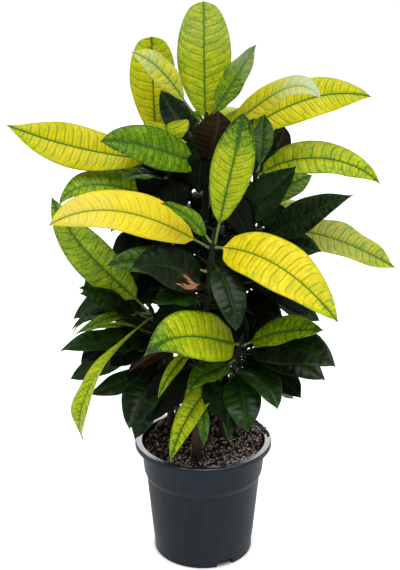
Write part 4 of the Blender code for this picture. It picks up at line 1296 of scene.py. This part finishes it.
def makeSoil(material):
    b = crumbBuild
    edge = potInside(soilShape["edge"]) - b["wallGap"]
    verts = [(0, 0, lumpyHeight(0, 0))]
    around = [2 * math.pi * j / b["steps"] for j in range(b["steps"])]
    for i in range(1, b["rings"] + 1):
        r = edge * i / b["rings"]
        for a in around:
            x, y = r * math.cos(a), r * math.sin(a)
            verts.append((x, y, lumpyHeight(x, y)))
    # down along the wall
    collar, shoulder, floor = potShape["collarFoot"][1], potShape["shoulder"][1], sum(potShape["floor"])
    walls = [148, 120, collar + 0.9, shoulder + 0.9, 60, floor + 0.1]
    for z in walls:
        r = potInside(z) - b["wallGap"]
        verts += [(r * math.cos(a), r * math.sin(a), z) for a in around]
    verts.append((0, 0, walls[-1]))
    faces = spunFaces(b["rings"] + len(walls), b["steps"])
    mesh = newMesh("soil", verts, faces, [material], crumbTone=[b["tone"]] * len(verts))
    newPiece("soilHeap", mesh, slotOf["soil"], "soil")


def makeCrumbs(name, material, thinLeft=0.0, spilled=False):
    # loose grains on the soil: small angular bodies, partly sunk; thinLeft: the share of those on the left
    # that lie on the right instead; spilled: they lie over the lip
    count, sizes, flatness, raised, seed = crumbBuild[name]
    draw = np.random.default_rng(seed)
    golden = (1 + 5 ** 0.5) / 2
    corners = unit(np.array([
        np.roll((small, big, 0.0), turn)
        for turn in range(3) for big in (golden, -golden) for small in (-1, 1)
    ]))
    sides = np.array([
        (0, 11, 5), (0, 5, 1), (0, 1, 7), (0, 7, 10), (0, 10, 11), (1, 5, 9), (5, 11, 4), (11, 10, 2),
        (10, 7, 6), (7, 1, 8), (3, 9, 4), (3, 4, 2), (3, 2, 6), (3, 6, 8), (3, 8, 9), (4, 9, 5), (2, 4, 11),
        (6, 2, 10), (8, 6, 7), (9, 8, 1),
    ])
    b = crumbBuild
    edge = potInside(soilShape["edge"]) - b["grainGap"]
    start, end = b["spilledFrom"]
    verts, tones = [], []
    for _ in range(count):
        r, a = edge * math.sqrt(draw.random()), 2 * math.pi * draw.random()
        if math.cos(a) < 0 and draw.random() < thinLeft:
            a = math.pi - a
        size = draw.uniform(*sizes)
        r = min(r, edge - size)
        low = -math.inf
        if spilled:
            a = math.radians(start + (end - start) * 0.5 * (draw.random() + draw.random()))
            r = draw.uniform(edge - b["spillReach"], potShape["rim"] - size)
            low = potShape["height"] + (potShape["rim"] - r) * draw.random() * b["spillHigh"]
        x, y = r * math.cos(a), r * math.sin(a)
        shape = corners * size * np.array([1.0, draw.uniform(*flatness), draw.uniform(*flatness)])
        shape = shape * draw.uniform(*b["corners"], (len(corners), 1))
        turns = [(draw.uniform(0, 6.28), "Z"), (draw.normal(0, b["tilt"]), "Y"), (draw.uniform(0, 6.28), "X")]
        first, second, third = [Matrix.Rotation(angle, 3, axis) for angle, axis in turns]
        turn = np.array(first @ second @ third)
        verts.append(shape @ turn.T + np.array([x, y, max(low, lumpyHeight(x, y)) + size * raised]))
        tones.append(np.full(len(corners), draw.random()))
    faces = (np.arange(count)[:, None, None] * len(corners) + sides[None]).reshape(-1, 3).tolist()
    tones = np.concatenate(tones)
    mesh = newMesh(name, np.concatenate(verts), faces, [material], smooth=False, crumbTone=tones)
    newPiece(name, mesh, slotOf["soil"])


peatStops = [(0.30, "#080403"), (0.50, "#2B1C15"), (0.66, "#6B5347"), (0.82, "#C6B3A6")]
barkStops = [(0.25, "#1E110D"), (0.45, "#4E342B"), (0.62, "#8E6E60"), (0.80, "#CDB6A8")]
perliteStops = [(0.25, "#8D857C"), (0.5, "#CFC9BF"), (0.75, "#F2EFE8")]
peat = peatMaterial("dampPeat", peatStops, 0.9)
makeSoil(peat)
makeCrumbs("peatCrumbs", peat)
makeCrumbs("spilledPeat", peat, spilled=True)
makeCrumbs("barkChips", peatMaterial("compostedBark", barkStops, 0.8))
makeCrumbs("perliteGrains", peatMaterial("expandedPerlite", perliteStops, 0.75), thinLeft=0.6)
print("soil made")


# floor, light and camera

floorBuild = {  # m, and the strength of its glow, which starts at the pot's foot: there is none under it
    "halfSize": 6.0, "drop": 0.0002, "glowFrom": (0.066, 0.074), "glow": 0.72,
}


def floorMaterial():
    # matt white sheet, lit through from below as well, so that hardly a shadow shows on it
    material, add = newMaterial("mattWhiteBoard")
    spot = add("TexCoord").outputs["Object"]
    grain = add("TexNoise", {"Vector": spot, "Scale": 3.0, "Detail": 3.0})
    colour = add("ValToRGB", [grain], stops=[(0.3, "#CDCECD"), (0.7, "#D3D4D3")])
    away = add("VectorMath", [spot], operation="LENGTH").outputs["Value"]
    glow = add("MapRange", [away, *floorBuild["glowFrom"], 0.0, floorBuild["glow"]])
    skin = add("BsdfPrincipled", {
        "Base Color": colour, "Roughness": 0.9, "IOR": 1.45,
        "Emission Color": (1, 1, 1, 1), "Emission Strength": glow,
    })
    add("OutputMaterial", [skin])
    return material


def makeFloor():
    # a sheet just below the pot's foot
    shape = bmesh.new()
    bmesh.ops.create_grid(shape, x_segments=4, y_segments=4, size=floorBuild["halfSize"])
    mesh = bpy.data.meshes.new("floor")
    shape.to_mesh(mesh)
    shape.free()
    mesh.materials.append(floorMaterial())
    floorPiece = newObject("floor", mesh)
    floorPiece.location.z = cadBox[0].z - floorBuild["drop"]
    floorPiece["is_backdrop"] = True


makeFloor()
print("floor made")

lightBuild = {
    "backdrop": ("#FFFFFF", 1.05),            # what shows behind the plant
    "room": ("#FAFAFA", 0.36),                # what lights it from all round
    "sky": {"strength": 3.1, "spread": 65, "from": (0.2, -0.6, 1.9)},   # a wide soft light overhead
    "lamps": [  # place, aim, width and height in m, watts
        ("left", (-1.7, 0.4, 1.0), (0, 0, 0.3), (0.5, 1.4), 2),
        ("right", (1.7, 0.5, 1.0), (0, 0, 0.3), (0.5, 1.4), 2),
        ("back", (0, 1.3, 0.8), (0, 0, 0.165), (1.3, 0.5), 5),
    ],
}


def makeWorld():
    world = bpy.data.worlds.new("studio")
    world.use_nodes = True
    world.node_tree.nodes.clear()
    add = functools.partial(addNode, world.node_tree)
    sides = [lightBuild["room"], lightBuild["backdrop"]]
    room, backdrop = [add("Background", [linear(colour), strength]) for colour, strength in sides]
    seen = add("LightPath").outputs["Is Camera Ray"]
    add("OutputWorld", [add("MixShader", [seen, room, backdrop])])
    bpy.context.scene.world = world


def makeLights():
    sky = bpy.data.lights.new("sky", "SUN")
    sky.energy, sky.angle = lightBuild["sky"]["strength"], math.radians(lightBuild["sky"]["spread"])
    aimed = newObject("sky", sky)
    aimed.rotation_euler = (-Vector(lightBuild["sky"]["from"])).to_track_quat("-Z", "Y").to_euler()
    for name, place, aim, (width, height), watts in lightBuild["lamps"]:
        lamp = bpy.data.lights.new(name, "AREA")
        lamp.shape = "RECTANGLE"
        lamp.size, lamp.size_y, lamp.energy = width, height, watts
        aimed = newObject(name, lamp)
        aimed.location = place
        aimed.rotation_euler = (Vector(aim) - Vector(place)).to_track_quat("-Z", "Y").to_euler()
        aimed.visible_camera = False


makeWorld()
makeLights()
print("lights made")

camera = newObject("camera", bpy.data.cameras.new("camera"))
camera.location = cameraBuild["place"]
camera.rotation_euler = (math.radians(90 - cameraBuild["down"]), 0, 0)
camera.data.lens = cameraBuild["lens"]
bpy.context.scene.camera = camera
bpy.context.scene.view_settings.view_transform = "Standard"

bpy.context.view_layer.update()
triangles = sum(len(p.vertices) - 2 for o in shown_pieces() for p in o.data.polygons)
print("triangles", triangles)
